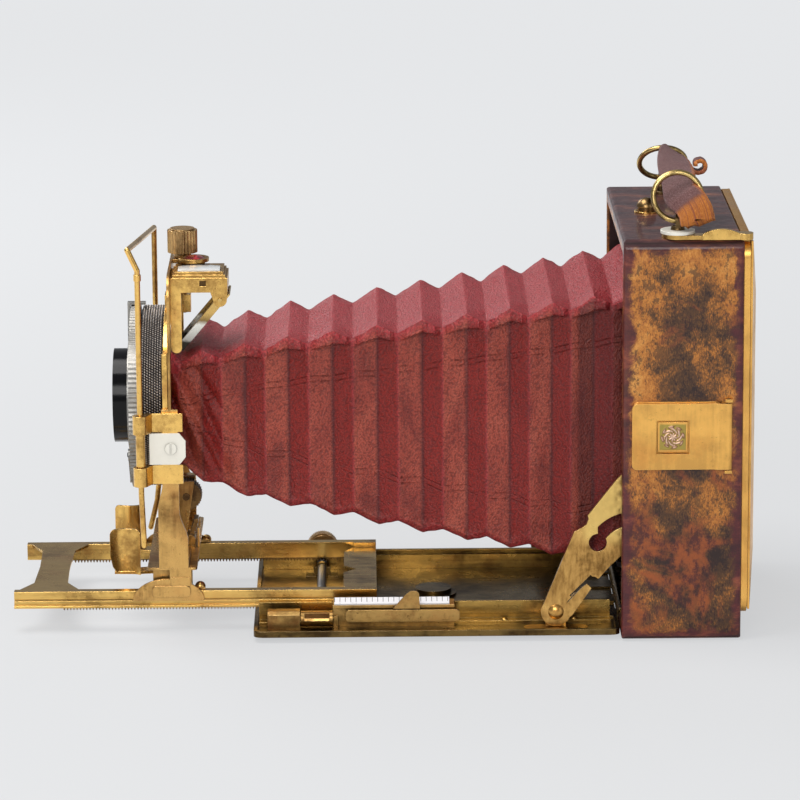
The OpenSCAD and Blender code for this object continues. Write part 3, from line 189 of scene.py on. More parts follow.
class Value:
    """A number in a material's nodes that can stand in a sum."""

    def __init__(self, finish, socket):
        self.finish = finish
        self.socket = socket

    def __add__(self, other):
        return self.finish.math("ADD", self, other)

    def __sub__(self, other):
        return self.finish.math("SUBTRACT", self, other)

    def __rsub__(self, other):
        return self.finish.math("SUBTRACT", other, self)

    def __mul__(self, other):
        return self.finish.math("MULTIPLY", self, other)

    def __truediv__(self, other):
        return self.finish.math("DIVIDE", self, other)


SHADER_INPUTS = {"specular": "Specular IOR Level", "coat": "Coat Weight", "coat_rough": "Coat Roughness"}


class Finish(Nodes):
    """A material under construction, on the object's own coordinates or a named UV map."""

    def __init__(self, name, colour=(0.5, 0.5, 0.5), metal=0.0, rough=0.5):
        self.material = bpy.data.materials.new(name)
        self.material.use_nodes = True
        super().__init__(self.material.node_tree)
        self.bsdf = self.tree.nodes["Principled BSDF"]
        self.tone = colour
        self.put("Base Color", colour)
        self.put("Metallic", metal)
        self.put("Roughness", rough)
        self.material.diffuse_color = (*colour, 1)

    def put(self, name, value):
        self.link(value, self.bsdf.inputs[name])

    def place(self, uv=None):
        if uv:
            return self.node("ShaderNodeUVMap", uv_map=uv).outputs["UV"]
        return self.node("ShaderNodeTexCoord").outputs["Object"]

    def map(self, scale=(1, 1, 1), uv=None, move=(0, 0, 0), turn=(0, 0, 0)):
        values = {"Vector": self.place(uv), "Scale": scale, "Location": move, "Rotation": turn}
        return self.node("ShaderNodeMapping", values).outputs["Vector"]

    def split(self, vector):
        return tuple(Value(self, out) for out in self.node("ShaderNodeSeparateXYZ", {0: vector}).outputs)

    def noise(self, scale, vector=None, detail=4.0, rough=0.55, distort=0.0):
        n = self.node("ShaderNodeTexNoise", {
            "Vector": self.place() if vector is None else vector, "Scale": scale, "Detail": detail,
            "Roughness": rough, "Distortion": distort})
        return Value(self, n.outputs["Fac"])

    def cells(self, scale, vector=None, feature="F1"):
        values = {"Vector": self.place() if vector is None else vector, "Scale": scale}
        return Value(self, self.node("ShaderNodeTexVoronoi", values, feature=feature).outputs["Distance"])

    def math(self, op, *values):
        return Value(self, self.node("ShaderNodeMath", dict(enumerate(values)), operation=op).outputs[0])

    def span(self, value, a, b, c=0.0, d=1.0, smooth=False):
        """value carried from the range a to b over to c to d, and held at its ends."""
        n = self.node("ShaderNodeMapRange", {"Value": value, "From Min": a, "From Max": b, "To Min": c, "To Max": d})
        if smooth:
            n.interpolation_type = "SMOOTHSTEP"
        return Value(self, n.outputs["Result"])

    def ramp(self, value, stops):
        n = self.node("ShaderNodeValToRGB", {"Fac": value})
        e = n.color_ramp.elements
        while len(e) < len(stops):
            e.new(0.5)
        for item, (at, colour) in zip(e, stops):
            item.position = at
            item.color = (*colour, 1)
        return n.outputs["Color"]

    def mix(self, fac, a, b):
        """Colour a, with colour b over it as far as fac says."""
        return self.node("ShaderNodeMix", {"Factor": fac, 6: a, 7: b}, data_type="RGBA").outputs[2]

    def over(self, fac, colour):
        """Lays a colour over the tone so far, as far as fac says."""
        self.tone = self.mix(fac, self.tone, colour)

    def edges(self, width):
        """How near a point is to a sharp edge, from 0 to 1, and the normal with that edge rounded."""
        soft = self.node("ShaderNodeBevel", {"Radius": width / 1000}, samples=4).outputs["Normal"]
        flat = self.node("ShaderNodeNewGeometry").outputs["Normal"]
        turn = self.node("ShaderNodeVectorMath", {0: soft, 1: flat}, operation="DOT_PRODUCT")
        return self.span(turn.outputs["Value"], 0.998, 0.93), soft

    def hollows(self, reach):
        """1 in corners and under overhangs of the piece itself, 0 on open faces."""
        shade = self.node("ShaderNodeAmbientOcclusion", {"Distance": reach / 1000}, samples=4, only_local=True)
        return self.span(shade.outputs["AO"], 0.85, 0.35)

    def done(self, tone, rough, bump=None, over=None, **others):
        """The material with its values put in.

        bump is a height, its depth in millimetres for a height of 1 and its strength, over the normal it starts from.
        """
        self.put("Base Color", tone)
        if rough is not None:
            self.put("Roughness", rough)
        for key, value in others.items():
            self.put(SHADER_INPUTS[key], value)
        if bump:
            height, depth, strength = bump
            n = self.node("ShaderNodeBump", {"Strength": strength, "Distance": depth / 1000, "Height": height})
            if over is not None:
                self.link(over, n.inputs["Normal"])
            self.put("Normal", n.outputs["Normal"])
        return self.material


def brass(name, bright, deep, patina=0.5, rough=0.34, streak=(1, 1, 1), spots=0.6, scale=1.0, red=0.25,
          pit_shade=None):
    """Aged brass: bright metal, browner and redder patches, rubbed edges that also carry a painted edge highlight, dirt
    with painted shade in corners, and dark spots.

    The last argument gives two corners of a box in which the metal is painted near black, as painted shade in a small
    recess.
    """
    f = Finish(name, bright, 1.0, rough)
    edge, rounded = f.edges(0.28)
    hollow_shade_and_dirt = f.hollows(3.6)
    wide = f.noise(30 * scale, f.map(move=(2, 3, 1)), detail=5, rough=0.6, distort=0.5)
    patch = f.noise(95 * scale, detail=7, rough=0.68, distort=0.3)
    fine = f.noise(520 * scale, f.map(streak), detail=5, rough=0.7)
    blend = wide * 0.5 + patch * 0.3 + fine * 0.2
    middle = tuple(lerp(d, b, 0.55) for d, b in zip(deep, bright))
    best = tuple(min(1, c * 1.15) for c in bright)
    f.tone = f.ramp(blend, [(0.42, deep), (0.48, middle), (0.53, bright), (0.64, best)])
    f.tone = f.mix(patina, bright, f.tone)
    rosy = f.span(f.noise(48 * scale, f.map(move=(8, 1, 6)), detail=6, rough=0.65), 0.52, 0.66, 0, red)
    f.over(rosy, (bright[0] * 0.82, bright[1] * 0.5, bright[2] * 0.45))
    dots = f.span(f.noise(1000 * scale, detail=2, rough=0.5), 0.68, 0.76, 0, spots)
    dark = f.span(f.noise(170 * scale, f.map(move=(4, 4, 9)), detail=8, rough=0.75), 0.6, 0.7, 0, 0.7 * patina)
    f.over(dark, tuple(c * 0.5 for c in deep))
    f.over(dots, tuple(c * 0.3 for c in deep))
    # Painted shade: darker in the piece's own corners and hollows, found by ambient occlusion; the same mask makes them
    # rougher as dirt and keeps rubbing out of them
    f.over(hollow_shade_and_dirt * 0.72, tuple(c * 0.35 for c in deep))
    # Rubbed edges, painted lighter: real wear, and also a painted edge highlight
    rub = edge * f.span(fine, 0.38, 0.55, 0.45, 0.95) * (1.0 - hollow_shade_and_dirt * 0.9)
    f.over(rub, tuple(min(1, c * 1.25 + 0.05) for c in bright))
    # Painted shade in a small recess: the box painted near black
    if pit_shade:
        inside = None
        for value, a, b in zip(f.split(f.place()), *pit_shade):
            within = f.math("COMPARE", value, (a + b) / 2, abs(b - a) / 2)
            inside = within if inside is None else inside * within
        f.over(inside, (0.09, 0.05, 0.02))
    shine = f.span(blend, 0.4, 0.62, rough + 0.14, rough - 0.06)
    shine = shine + f.math("MAXIMUM", dark, hollow_shade_and_dirt) * 0.2
    return f.done(f.tone, shine - rub * 0.08, (fine * 0.5 + dots * -0.6 + patch * 0.9, 0.07, 0.5), rounded)


FINISHES = {}


def finish_lacquer():
    """Mottled lacquer: gold and olive clouds full of fine flecks, red glossy edges, black inside the box."""
    f = Finish("Tortoise lacquer", (0.2, 0.08, 0.03), 0.0, 0.2)
    x, y, z = f.split(f.place())
    lo, hi = Vector(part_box("body_shell")[0]), Vector(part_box("body_shell")[1])
    ways = []
    for axis, value in enumerate((x, y, z)):
        ways.append(f.math("MAXIMUM", f.math("MINIMUM", value - lo[axis], hi[axis] - value), 0.0))
    least = f.math("MINIMUM", f.math("MINIMUM", ways[0], ways[1]), ways[2])
    most = f.math("MAXIMUM", f.math("MAXIMUM", ways[0], ways[1]), ways[2])
    edge = ways[0] + ways[1] + ways[2] - least - most
    wide = f.noise(26, f.map(move=(1.7, 0.4, 2.3)), detail=3, rough=0.5, distort=1.2)
    clouds = f.noise(85, f.map(move=(3, 1, 2)), detail=9, rough=0.72, distort=0.5)
    blots = f.noise(330, f.map((1, 1, 0.6), move=(6, 1, 2)), detail=7, rough=0.75)
    flecks = f.noise(1500, f.map((1.3, 1.3, 0.55)), detail=3, rough=0.6)
    mixed = wide * 0.3 + clouds * 0.3 + blots * 0.24 + flecks * 0.16
    mixed = mixed + f.span(edge, 0.005, 0.019, 0.024, -0.012, smooth=True) + f.span(z, 0.03, 0.12, -0.062, 0.034)
    f.tone = f.ramp(mixed, [
        (0.43, (0.02, 0.008, 0.007)), (0.465, (0.062, 0.026, 0.01)), (0.492, (0.12, 0.05, 0.014)),
        (0.508, (0.24, 0.085, 0.016)), (0.535, (0.42, 0.15, 0.024)), (0.59, (0.56, 0.25, 0.055))])
    f.over(f.span(blots, 0.52, 0.57, 0, 0.75), (0.045, 0.02, 0.009))
    red = f.noise(40, f.map(move=(7, 2, 5)), detail=7, rough=0.68, distort=0.6)
    rust = red + f.span(z, 0.03, 0.09, 0.035, -0.01)
    f.over(f.span(rust, 0.53, 0.64, 0, 0.7),
           f.ramp(blots, [(0.42, (0.09, 0.018, 0.014)), (0.56, (0.33, 0.075, 0.016))]))
    lines = f.math("ABSOLUTE", f.noise(75, f.map(move=(1, 9, 4)), detail=8, rough=0.7) - 0.5)
    f.over(f.span(lines, 0.0, 0.006, 0.5, 0), (0.05, 0.018, 0.014))
    rim = f.span(edge + (clouds - 0.5) * 0.016, 0.0018, 0.0050, 1, 0, smooth=True)
    streak = f.noise(150, f.map((0.35, 1, 1), move=(4, 4, 4)), detail=7, rough=0.72)
    rimtone = f.ramp(streak, [(0.38, (0.04, 0.008, 0.012)), (0.52, (0.085, 0.014, 0.017)),
                              (0.64, (0.21, 0.05, 0.03)), (0.72, (0.34, 0.1, 0.035))])
    f.over(rim * 0.94, rimtone)
    top = f.span(z, hi[2] - 0.0034, hi[2] - 0.0020, 0, 1)
    toptone = f.ramp(streak, [(0.36, (0.028, 0.011, 0.014)), (0.52, (0.062, 0.023, 0.024)),
                              (0.62, (0.13, 0.045, 0.03)), (0.71, (0.3, 0.1, 0.035))])
    f.over(top, toptone)
    inside = f.span(least, 0.0006, 0.0012, 0, 1)
    f.over(inside, (0.02, 0.009, 0.009))
    _, rounded = f.edges(0.5)
    return f.done(f.tone, f.math("MAXIMUM", f.span(blots, 0.4, 0.6, 0.36, 0.5), inside * 0.8),
                  (blots * 0.8 + clouds * 0.8, 0.12, 0.45), rounded, specular=0.2, coat=0.3, coat_rough=0.08)


def finish_bellows():
    """Worn red leather: pebbled grain, creases along the folds and embossed double lines, with painted light and shade
    on the fold facets, painted shade in the creases and hollows, painted highlights with wear on the ridges, and a
    painted shadow near the body.
    """
    f = Finish("Red bellows leather", (0.22, 0.03, 0.03), 0.0, 0.5)
    tri, side, _ = f.split(f.place("fold"))
    turn, _, _ = f.split(f.place("panel"))
    down, up_, _ = f.split(f.place("edge"))
    cloud = f.noise(6, f.map((1, 0.5, 1), "skin"), detail=6, rough=0.6, distort=0.4)
    blush = f.noise(17, f.map((1, 0.4, 1), "skin", (3, 5, 0)), detail=6, rough=0.65)
    fine = f.noise(60, f.map((1, 0.8, 1), "skin", (1, 2, 0)), detail=5, rough=0.7)
    f.tone = f.ramp(cloud, [(0.34, (0.12, 0.009, 0.009)), (0.46, (0.2, 0.014, 0.012)), (0.58, (0.26, 0.022, 0.017)),
                            (0.7, (0.23, 0.036, 0.026))])
    f.over(f.span(blush, 0.5, 0.66, 0, 0.7), (0.15, 0.026, 0.02))
    on_top = f.span(side, 0.2, 0.5, 1, 0)
    flank = f.span(side, 0.5, 0.9, 0, 1)
    # Painted light and shade on the folds: the facets on one side of each fold are painted lighter and browner, those
    # on the other side darker red, as lit and shaded faces
    pale = f.span(turn, VALLEY - 0.015, VALLEY + 0.015, 1, 0)
    painted_lit_side = pale * f.span(cloud, 0.36, 0.6, 0.25, 0.85)
    f.over(painted_lit_side * flank * 0.9, (0.4, 0.085, 0.05))
    painted_shaded_side = (1.0 - pale) * flank
    f.over(painted_shaded_side * 0.75, (0.215, 0.012, 0.008))
    # Painted light on the roof's facets on one side of each fold, painted shade on the others
    f.over(on_top * pale * 0.75, (0.25, 0.036, 0.034))
    shade_top = on_top * (1.0 - pale)
    f.over(shade_top * 0.9, (0.14, 0.006, 0.009))
    shaky = tri + (blush - 0.5) * 0.16
    low_fold = f.span(shaky, 0.0, 0.13, 1, 0)
    high_fold = f.span(shaky, 0.9, 0.99, 0, 1)
    below = f.span(down, 0.05, 0.09, 0, 1)
    # Along the folds: painted shade in the creases of the sides and the roof, and lighter ridges that are worn and also
    # carry a painted highlight
    f.over(low_fold * flank * below * 0.85, (0.04, 0.008, 0.010))
    f.over(high_fold * flank * 0.55, (0.36, 0.035, 0.045))
    f.over(low_fold * on_top * 0.5, (0.5, 0.11, 0.12))
    f.over(high_fold * on_top * 0.6, (0.08, 0.008, 0.012))
    # Worn, brighter hide along both long edges
    crest = down - tri * 0.048
    foot = up_ - tri * 0.03
    near = f.math("MINIMUM", crest, foot + 0.01)
    worn = near + (blush - 0.5) * 0.05
    f.over(f.span(worn, 0.008, 0.045, 0.7, 0), (0.4, 0.035, 0.045))
    rubbed = f.span(worn, 0.03, 0.09, 1, 0) * f.span(fine, 0.5, 0.62, 0, 0.3)
    f.over(rubbed, (0.42, 0.14, 0.12))
    stripes = f.math("ABSOLUTE", f.math("FRACT", tri * 2.0) - 0.5)
    stripes = f.span(stripes, 0.0, 0.03, 1, 0) * on_top * 0.25
    f.over(stripes, (0.1, 0.016, 0.02))
    lines = None
    tilt = (tri - 0.5) * 0.014
    for value, at in [(down, at) for at in EMBOSSED[0]] + [(up_, at) for at in EMBOSSED[1]]:
        d = f.math("ABSOLUTE", value + tilt - at)
        d = f.span(d, 0.0, 0.0042, 1, 0, smooth=True) * flank
        lines = d if lines is None else f.math("MAXIMUM", lines, d)
    lines = lines * f.span(blush, 0.42, 0.56, 0.05, 1)
    lines = lines * f.span(f.math("ABSOLUTE", tri - 0.5), 0.36, 0.46, 1, 0)
    f.over(lines * 0.2, (0.06, 0.012, 0.016))
    # Painted shade in the bellows' own hollows, found by ambient occlusion
    f.over(f.span(f.hollows(7), 0.1, 1.0, 0, 0.55), (0.035, 0.003, 0.005))
    grain = f.cells(150, f.map((1, 1, 1), "skin"), feature="SMOOTH_F1")
    pores = f.noise(230, f.map((1, 1, 1), "skin"), detail=3, rough=0.6)
    f.over(f.span(grain, 0.25, 0.65, 0, 0.6), (0.06, 0.007, 0.007))
    # Painted shadow: the sides painted darker over the last folds before the body, where the body's shadow falls
    along, _, _ = f.split(f.place())
    painted_body_shadow = f.ramp(f.span(along, mm(-50, 0, 0)[0], mm(0, 0, 0)[0]), [(at, (v, v, v)) for at, v in (
        (0.0, 0.0), (0.55, 0.15), (0.66, 0.2), (0.69, 0.7), (0.78, 0.6), (0.81, 0.35), (1.0, 0.6))])
    f.over(flank * painted_body_shadow, (0.04, 0.004, 0.005))
    skin = (1.0 - grain) * 0.8 + pores * 0.4 - lines * 0.9 + fine * f.span(worn, 0.0, 0.1, 1, 0) * 0.7
    return f.done(f.tone, f.span(fine, 0.3, 0.7, 0.52, 0.38), (skin, 0.5, 1.0), specular=0.3)


def finish_strap():
    """Purple-brown hide with fine creases, torn to raw orange at its ends."""
    f = Finish("Worn strap leather", (0.2, 0.09, 0.085), 0.0, 0.55)
    along, across, _ = f.split(f.place("strap"))
    hide = f.noise(60, f.map((2.2, 0.5, 1), "strap"), detail=7, rough=0.7, distort=0.6)
    creases = f.noise(160, f.map((0.35, 1, 1), "strap"), detail=5, rough=0.7)
    f.tone = f.ramp(hide, [(0.36, (0.08, 0.026, 0.028)), (0.5, (0.16, 0.07, 0.066)), (0.64, (0.27, 0.15, 0.14))])
    f.over(f.span(creases, 0.52, 0.62, 0, 0.7), (0.06, 0.018, 0.02))
    raw = f.noise(90, f.map((1, 1, 1), "strap"), detail=6, rough=0.75)
    rawtone = f.ramp(raw, [(0.36, (0.22, 0.045, 0.012)), (0.5, (0.52, 0.16, 0.022)), (0.64, (0.66, 0.3, 0.07))])
    stripes = f.noise(14, f.map((0.06, 1, 1), "strap"), detail=4, rough=0.7)
    rawtone = f.mix(f.span(stripes, 0.5, 0.58, 0, 0.75), rawtone, (0.2, 0.045, 0.04))
    ragged = (raw - 0.5) * 0.09
    torn = f.math("MAXIMUM", f.span(along + ragged, 0.075, 0.1, 1, 0),
                  f.span(along + ragged, 1.12, 1.15, 0, 1))
    rim = f.span(across + ragged, 0.4, 0.46, 0, 0.9)
    return f.done(f.mix(f.math("MAXIMUM", torn, rim), f.tone, rawtone), f.span(hide, 0.3, 0.7, 0.6, 0.42),
                  (creases * 1.0 + torn * raw, 0.6, 0.9), specular=0.3)


def finish_enamel(name, colour, rough=0.14, coat=0.35, worn=0.0):
    """Gloss enamel with dust, light scratches and a soft waviness."""
    f = Finish(name, colour, 0.0, rough)
    dust = f.noise(600, detail=4, rough=0.7)
    scuff = f.noise(240, f.map((0.25, 1, 1)), detail=6, rough=0.7)
    f.tone = f.mix(f.span(dust, 0.62, 0.8, 0, 0.25 + worn), colour, tuple(min(1, c * 2.4 + 0.02) for c in colour))
    return f.done(f.tone, f.span(scuff, 0.35, 0.75, rough, rough + 0.16), (scuff * 0.5 + dust, 0.02, 0.4),
                  specular=0.15, coat=coat, coat_rough=0.06)


def finish_metal(name, colour, rough, dark=0.3, grain=(1, 1, 1), metal=1.0):
    """Plated or plain metal with fine brushing, dull clouds, rubbed edges that also carry a painted edge highlight, and
    painted shade in corners.
    """
    f = Finish(name, colour, metal, rough)
    edge, rounded = f.edges(0.22)
    hollow_shade_and_dirt = f.hollows(1.6)
    brush = f.noise(700, f.map(grain), detail=5, rough=0.65)
    cloud = f.noise(60, detail=6, rough=0.6)
    shade = f.span(cloud, 0.35, 0.75, 0, dark) + f.span(brush, 0.4, 0.8, 0, dark * 0.6)
    f.tone = f.mix(shade, colour, tuple(c * 0.35 for c in colour))
    # Painted shade: darker in the piece's own corners, found by ambient occlusion
    f.over(hollow_shade_and_dirt * 0.8, tuple(c * 0.12 for c in colour))
    # Edges painted lighter: rubbed wear, and also a painted edge highlight
    return f.done(f.mix(edge * 0.6, f.tone, tuple(min(1, c * 1.35 + 0.06) for c in colour)),
                  f.span(cloud, 0.3, 0.7, rough, rough + 0.14), (brush, 0.03, 0.4), rounded)


def finish_carrier():
    """Brass carrier, silver along the middle of the mirror and black at its low end."""
    f = Finish("Mirror carrier", (0.55, 0.36, 0.12), 1.0, 0.28)
    _, _, z = f.split(f.place())
    lo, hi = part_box("finder_mirror")
    worn = f.noise(300, detail=6, rough=0.7)
    level = z + (worn - 0.5) * 0.003
    f.tone = f.ramp(f.span(level, lo[2], hi[2]), [
        (0.0, (0.02, 0.018, 0.016)), (0.15, (0.03, 0.026, 0.02)), (0.2, (0.35, 0.33, 0.3)),
        (0.45, (0.66, 0.64, 0.58)), (0.52, (0.2, 0.13, 0.05)), (0.66, (0.55, 0.36, 0.12)), (1.0, (0.6, 0.4, 0.14))])
    return f.done(f.tone, f.span(worn, 0.35, 0.7, 0.2, 0.42), (worn, 0.04, 0.5))


def finish_glass(name, colour, rough=0.03):
    """Coated glass over a dark inside, with faint rings of tint and dust."""
    f = Finish(name, colour, 0.0, rough)
    cloud = f.noise(50, detail=4)
    dust = f.noise(1400, detail=2)
    return f.done(f.mix(f.span(cloud, 0.3, 0.7, 0, 0.6), colour, tuple(c * 1.8 + 0.01 for c in colour)),
                  f.span(dust, 0.6, 0.8, rough, rough + 0.15), coat=1.0, coat_rough=0.02, specular=0.8)


def finish_ruby():
    """Cut red glass, with a painted highlight that makes it paler towards one side."""
    f = Finish("Ruby glass", (0.2, 0.008, 0.012), 0.0, 0.08)
    x, _, _ = f.split(f.place())
    lo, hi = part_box("level_jewel")
    facets = f.cells(420)
    across = f.span(x, lo[0], hi[0]) + facets * 0.4
    # Painted highlight: the glass painted paler across one side
    f.tone = f.ramp(across, [(0.25, (0.03, 0.001, 0.004)), (0.6, (0.1, 0.003, 0.008)), (0.85, (0.36, 0.02, 0.025)),
                             (1.0, (0.1, 0.003, 0.008))])
    return f.done(f.tone, None, (facets, 0.12, 0.5), coat=0.4, coat_rough=0.02)


def finish_knurl():
    """Black in the grooves of the drum, rubbed to grey metal on its tips."""
    f = Finish("Blackened knurling", (0.03, 0.03, 0.03), 0.7, 0.4)
    tip, _, _ = f.split(f.place("tip"))
    rub = f.noise(160, detail=6, rough=0.7)
    worn = f.span(tip, 0.2, 0.6) * f.span(rub, 0.35, 0.6, 0.5, 1.0)
    return f.done(f.mix(worn, (0.012, 0.01, 0.01), (0.62, 0.55, 0.5)), f.span(rub, 0.3, 0.7, 0.34, 0.5),
                  (f.noise(1200, detail=4), 0.03, 0.5))


def finish_relief():
    """Reddish gold relief, dark in its hollows."""
    f = Finish("Rosette relief", (0.42, 0.25, 0.15), 1.0, 0.4)
    height, _, _ = f.split(f.place("relief"))
    grain = f.noise(900, detail=5, rough=0.7)
    shown = height + (grain - 0.5) * 0.5
    f.tone = f.ramp(shown, [(0.1, (0.36, 0.27, 0.07)), (0.4, (0.2, 0.1, 0.05)), (0.6, (0.5, 0.3, 0.2)),
                            (0.9, (0.66, 0.46, 0.34))])
    return f.done(f.tone, f.span(grain, 0.3, 0.7, 0.34, 0.5), (grain, 0.05, 0.6))


def finish_scale():
    """White strip with black ticks along X."""
    f = Finish("White scale", (0.8, 0.8, 0.8), 0.0, 0.35)
    x, _, z = f.split(f.place())
    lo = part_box("distance_scale")[0]
    ticks = f.math("FRACT", (x - lo[0]) / 0.0021)
    rows = f.math("GREATER_THAN", z, lo[2] + 0.0012)
    ticks = f.math("LESS_THAN", ticks, 0.12) * rows
    spots = f.span(f.noise(700, detail=5, rough=0.75), 0.6, 0.7, 0, 0.6)
    f.tone = f.mix(spots, (0.82, 0.82, 0.84), (0.35, 0.3, 0.26))
    return f.done(f.mix(ticks * 0.8, f.tone, (0.03, 0.03, 0.03)), f.span(spots, 0, 0.6, 0.3, 0.6))


def finish_strut():
    """Warm brown brass, hammered bright where the struts meet the body, with edges painted lighter as wear and as a
    painted edge highlight.
    """
    f = Finish("Strut brass", (0.5, 0.29, 0.09), 1.0, 0.3)
    edge, rounded = f.edges(0.3)
    x, _, z = f.split(f.place())
    cloud = f.noise(60, detail=6, rough=0.65, distort=0.4)
    brushed = f.noise(500, f.map((1, 1, 0.2), turn=(0, 0.7, 0)), detail=5, rough=0.7)
    f.tone = f.ramp(cloud * 0.7 + brushed * 0.3,
                    [(0.42, (0.2, 0.105, 0.03)), (0.5, (0.44, 0.25, 0.075)), (0.6, (0.62, 0.38, 0.12))])
    dents = f.cells(420, feature="SMOOTH_F1")
    hit = f.span(x, BACK / 1000 - 0.0165, BACK / 1000 - 0.012) * f.span(z, 0.036, 0.041)
    f.over(hit * 0.8, (0.72, 0.5, 0.16))
    # Edges painted lighter: rubbed wear, and also a painted edge highlight
    f.over(edge * 0.6, (0.85, 0.6, 0.28))
    return f.done(f.tone, f.span(cloud, 0.4, 0.62, 0.4, 0.26), (brushed * 0.15 + dents * hit * 2.0, 0.3, 0.6), rounded)


def build_finishes():
    gold = (0.72, 0.45, 0.13)
    F = FINISHES
    F["gold"] = brass("Golden brass", gold, (0.24, 0.12, 0.035), 0.8, 0.22)
    # The finder's near side gets a small box painted near black, as painted shade in a recess
    x, z = low("finder_body").x, FINDER_GLASS[2] - 4.7
    F["finder"] = brass("Finder brass", gold, (0.24, 0.12, 0.035), 0.8, 0.2,
                        pit_shade=(mm(x + 11.4, -29, z), mm(x + 13.8, -27.4, z + 2)))
    F["plate"] = brass("Rubbed brass plate", (0.78, 0.43, 0.11), (0.5, 0.27, 0.075), 0.7, 0.3, (1, 1, 0.1), 0.35)
    F["strut"] = finish_strut()
    F["frame"] = brass("Rubbed brass frame", (0.52, 0.31, 0.1), (0.15, 0.078, 0.026), 0.88, 0.26, (1, 1, 0.12), 0.5)
    F["rail"] = brass("Drawn brass rail", (0.6, 0.38, 0.11), (0.16, 0.085, 0.025), 0.85, 0.2, (0.05, 1, 1), 0.5)
    F["olive"] = brass("Olive aged brass", (0.17, 0.11, 0.036), (0.035, 0.02, 0.009), 0.9, 0.26, (0.3, 1, 1), 0.5,
                       red=0.1)
    F["bronze"] = brass("Brown aged brass", (0.22, 0.135, 0.055), (0.05, 0.032, 0.016), 0.9, 0.28, spots=0.7)
    F["knob"] = brass("Worn brass knob", (0.52, 0.33, 0.14), (0.13, 0.075, 0.03), 0.9, 0.34, spots=0.5)
    F["guide"] = brass("Guide brass", (0.4, 0.255, 0.07), (0.08, 0.045, 0.015), 0.9, 0.24, (0.05, 1, 1), 0.5)
    F["ring"] = brass("Ring brass", (0.5, 0.36, 0.14), (0.08, 0.05, 0.02), 0.9, 0.24, scale=1.6)
    F["copper"] = brass("Reddened brass", (0.42, 0.26, 0.085), (0.13, 0.07, 0.024), 0.9, 0.34, spots=0.8, red=0.4)
    F["lacquer"] = finish_lacquer()
    F["bellows"] = finish_bellows()
    F["strap"] = finish_strap()
    F["black"] = finish_enamel("Black enamel", (0.004, 0.004, 0.0045), 0.06, 0.0)
    F["matt"] = finish_enamel("Matt black", (0.02, 0.018, 0.018), 0.6, 0.0)
    F["nickel"] = finish_metal("Nickel", (0.3, 0.29, 0.27), 0.34, 0.5)
    F["white_metal"] = finish_metal("White metal", (0.74, 0.71, 0.63), 0.42, 0.1, metal=0.35)
    F["steel"] = finish_metal("Grey steel", (0.3, 0.29, 0.28), 0.35, 0.4, (1, 0.1, 1))
    F["knurl"] = finish_knurl()
    F["relief"] = finish_relief()
    F["glass"] = finish_glass("Coated lens", (0.012, 0.016, 0.03))
    F["frosted"] = finish_glass("Frosted glass", (0.5, 0.54, 0.52), 0.5)
    # Painted reflection: the finder's top glass painted pale grey for the white and grey it reflects
    F["opal"] = finish_glass("Finder glass", (0.55, 0.56, 0.56), 0.12)
    F["mirror"] = finish_carrier()
    F["ruby"] = finish_ruby()
    F["scale"] = finish_scale()


DRESS = {
    "lacquer": ["body_shell", "bed_panel"],
    "finder": ["finder_body"],
    "gold": ["top_latch", "grip_near", "grip_far", "wire_clip", "wire_frame", "lens_panel",
             "button_bezel", "strut_fittings"],
    "plate": ["sight_flap", "sight_plate", "back_lid", "back_frame"],
    "strut": ["struts"],
    "frame": ["standard_frame", "base_plate"],
    "rail": ["track"],
    "guide": ["guides"],
    "olive": ["bed_tray", "bed_hinge", "shaft_bearings", "body_rails", "tripod_bush"],
    "bronze": ["ring_post_near", "ring_post_far", "bed_button", "lock_lever", "shift_wheel", "racks",
               "lid_hinge_pin", "sight_flap_pin", "bed_hinge_pin"],
    "knob": ["rise_screw", "focus_knob"],
    "ring": ["ring_near", "ring_far"],
    "copper": ["stop_block", "stop_lever", "scale_carrier"],
    "matt": ["plate_frame", "rear_cell"],
    "black": ["shutter_case", "lens_barrel"],
    "nickel": ["speed_ring", "cocking_lever", "release_lever"],
    "white_metal": ["latch_washer", "clip_plate"],
    "steel": ["pinion_shaft"],
    "glass": ["lens_glass"],
    "frosted": ["ground_glass"],
    "mirror": ["finder_mirror"],
    "ruby": ["level_jewel"],
    "scale": ["distance_scale"],
}


# Bellows form, from the source's own values

BELLOWS_X = (low("bellows")[0], low("plate_frame")[0])
# Half width, top and bottom at the body, and how much each changes up to the lens
BODY_END, TAPER = (49.5, 146, 33), (-22.5, -37.4, 9)
# Share of a fold from its ridge to its valley
VALLEY = 0.55
# Rows of points on the sides: steps below the top edge, rows between, steps above the bottom edge
SIDE_ROWS = ([0.55 * k for k in range(18)], 18, [1.0 * k for k in range(9)])
# Rows of faces across the roof and the floor, and how far the corners are cut off
ROOF_ROWS, CORNER = 22, 1.6
# Places where the stretches meet: on the track, the carriage and the frame
BELLOWS_CUTS = (-95.5, -158, -165.6)
# Height of the bellows' middle line, at which points on the cuts are worked out but not used, and the hide's thickness
BELLOWS_AXIS, HIDE = 88, 0.7
# Embossed double lines on the sides, in decimetres below the top edge and above the bottom edge
EMBOSSED = ((0.186, 0.208), (0.196, 0.218))
# How far the turned-over edge comes down each side: on a ridge, more in a valley, and at random
FLAP_REACH = (5.2, 2.0, 1.3)
# Loose folds at the front: place in x and z, slope, height and width
LOOSE_FOLDS = ((-165, 85, 2.0, 4.0, 2.3), (-158, 60, 2.3, 2.8, 1.8), (-170, 78, 3.4, -3.0, 2.1),
               (-150, 62, 2.2, -2.0, 1.9), (-161, 96, 1.5, -2.4, 2.0))


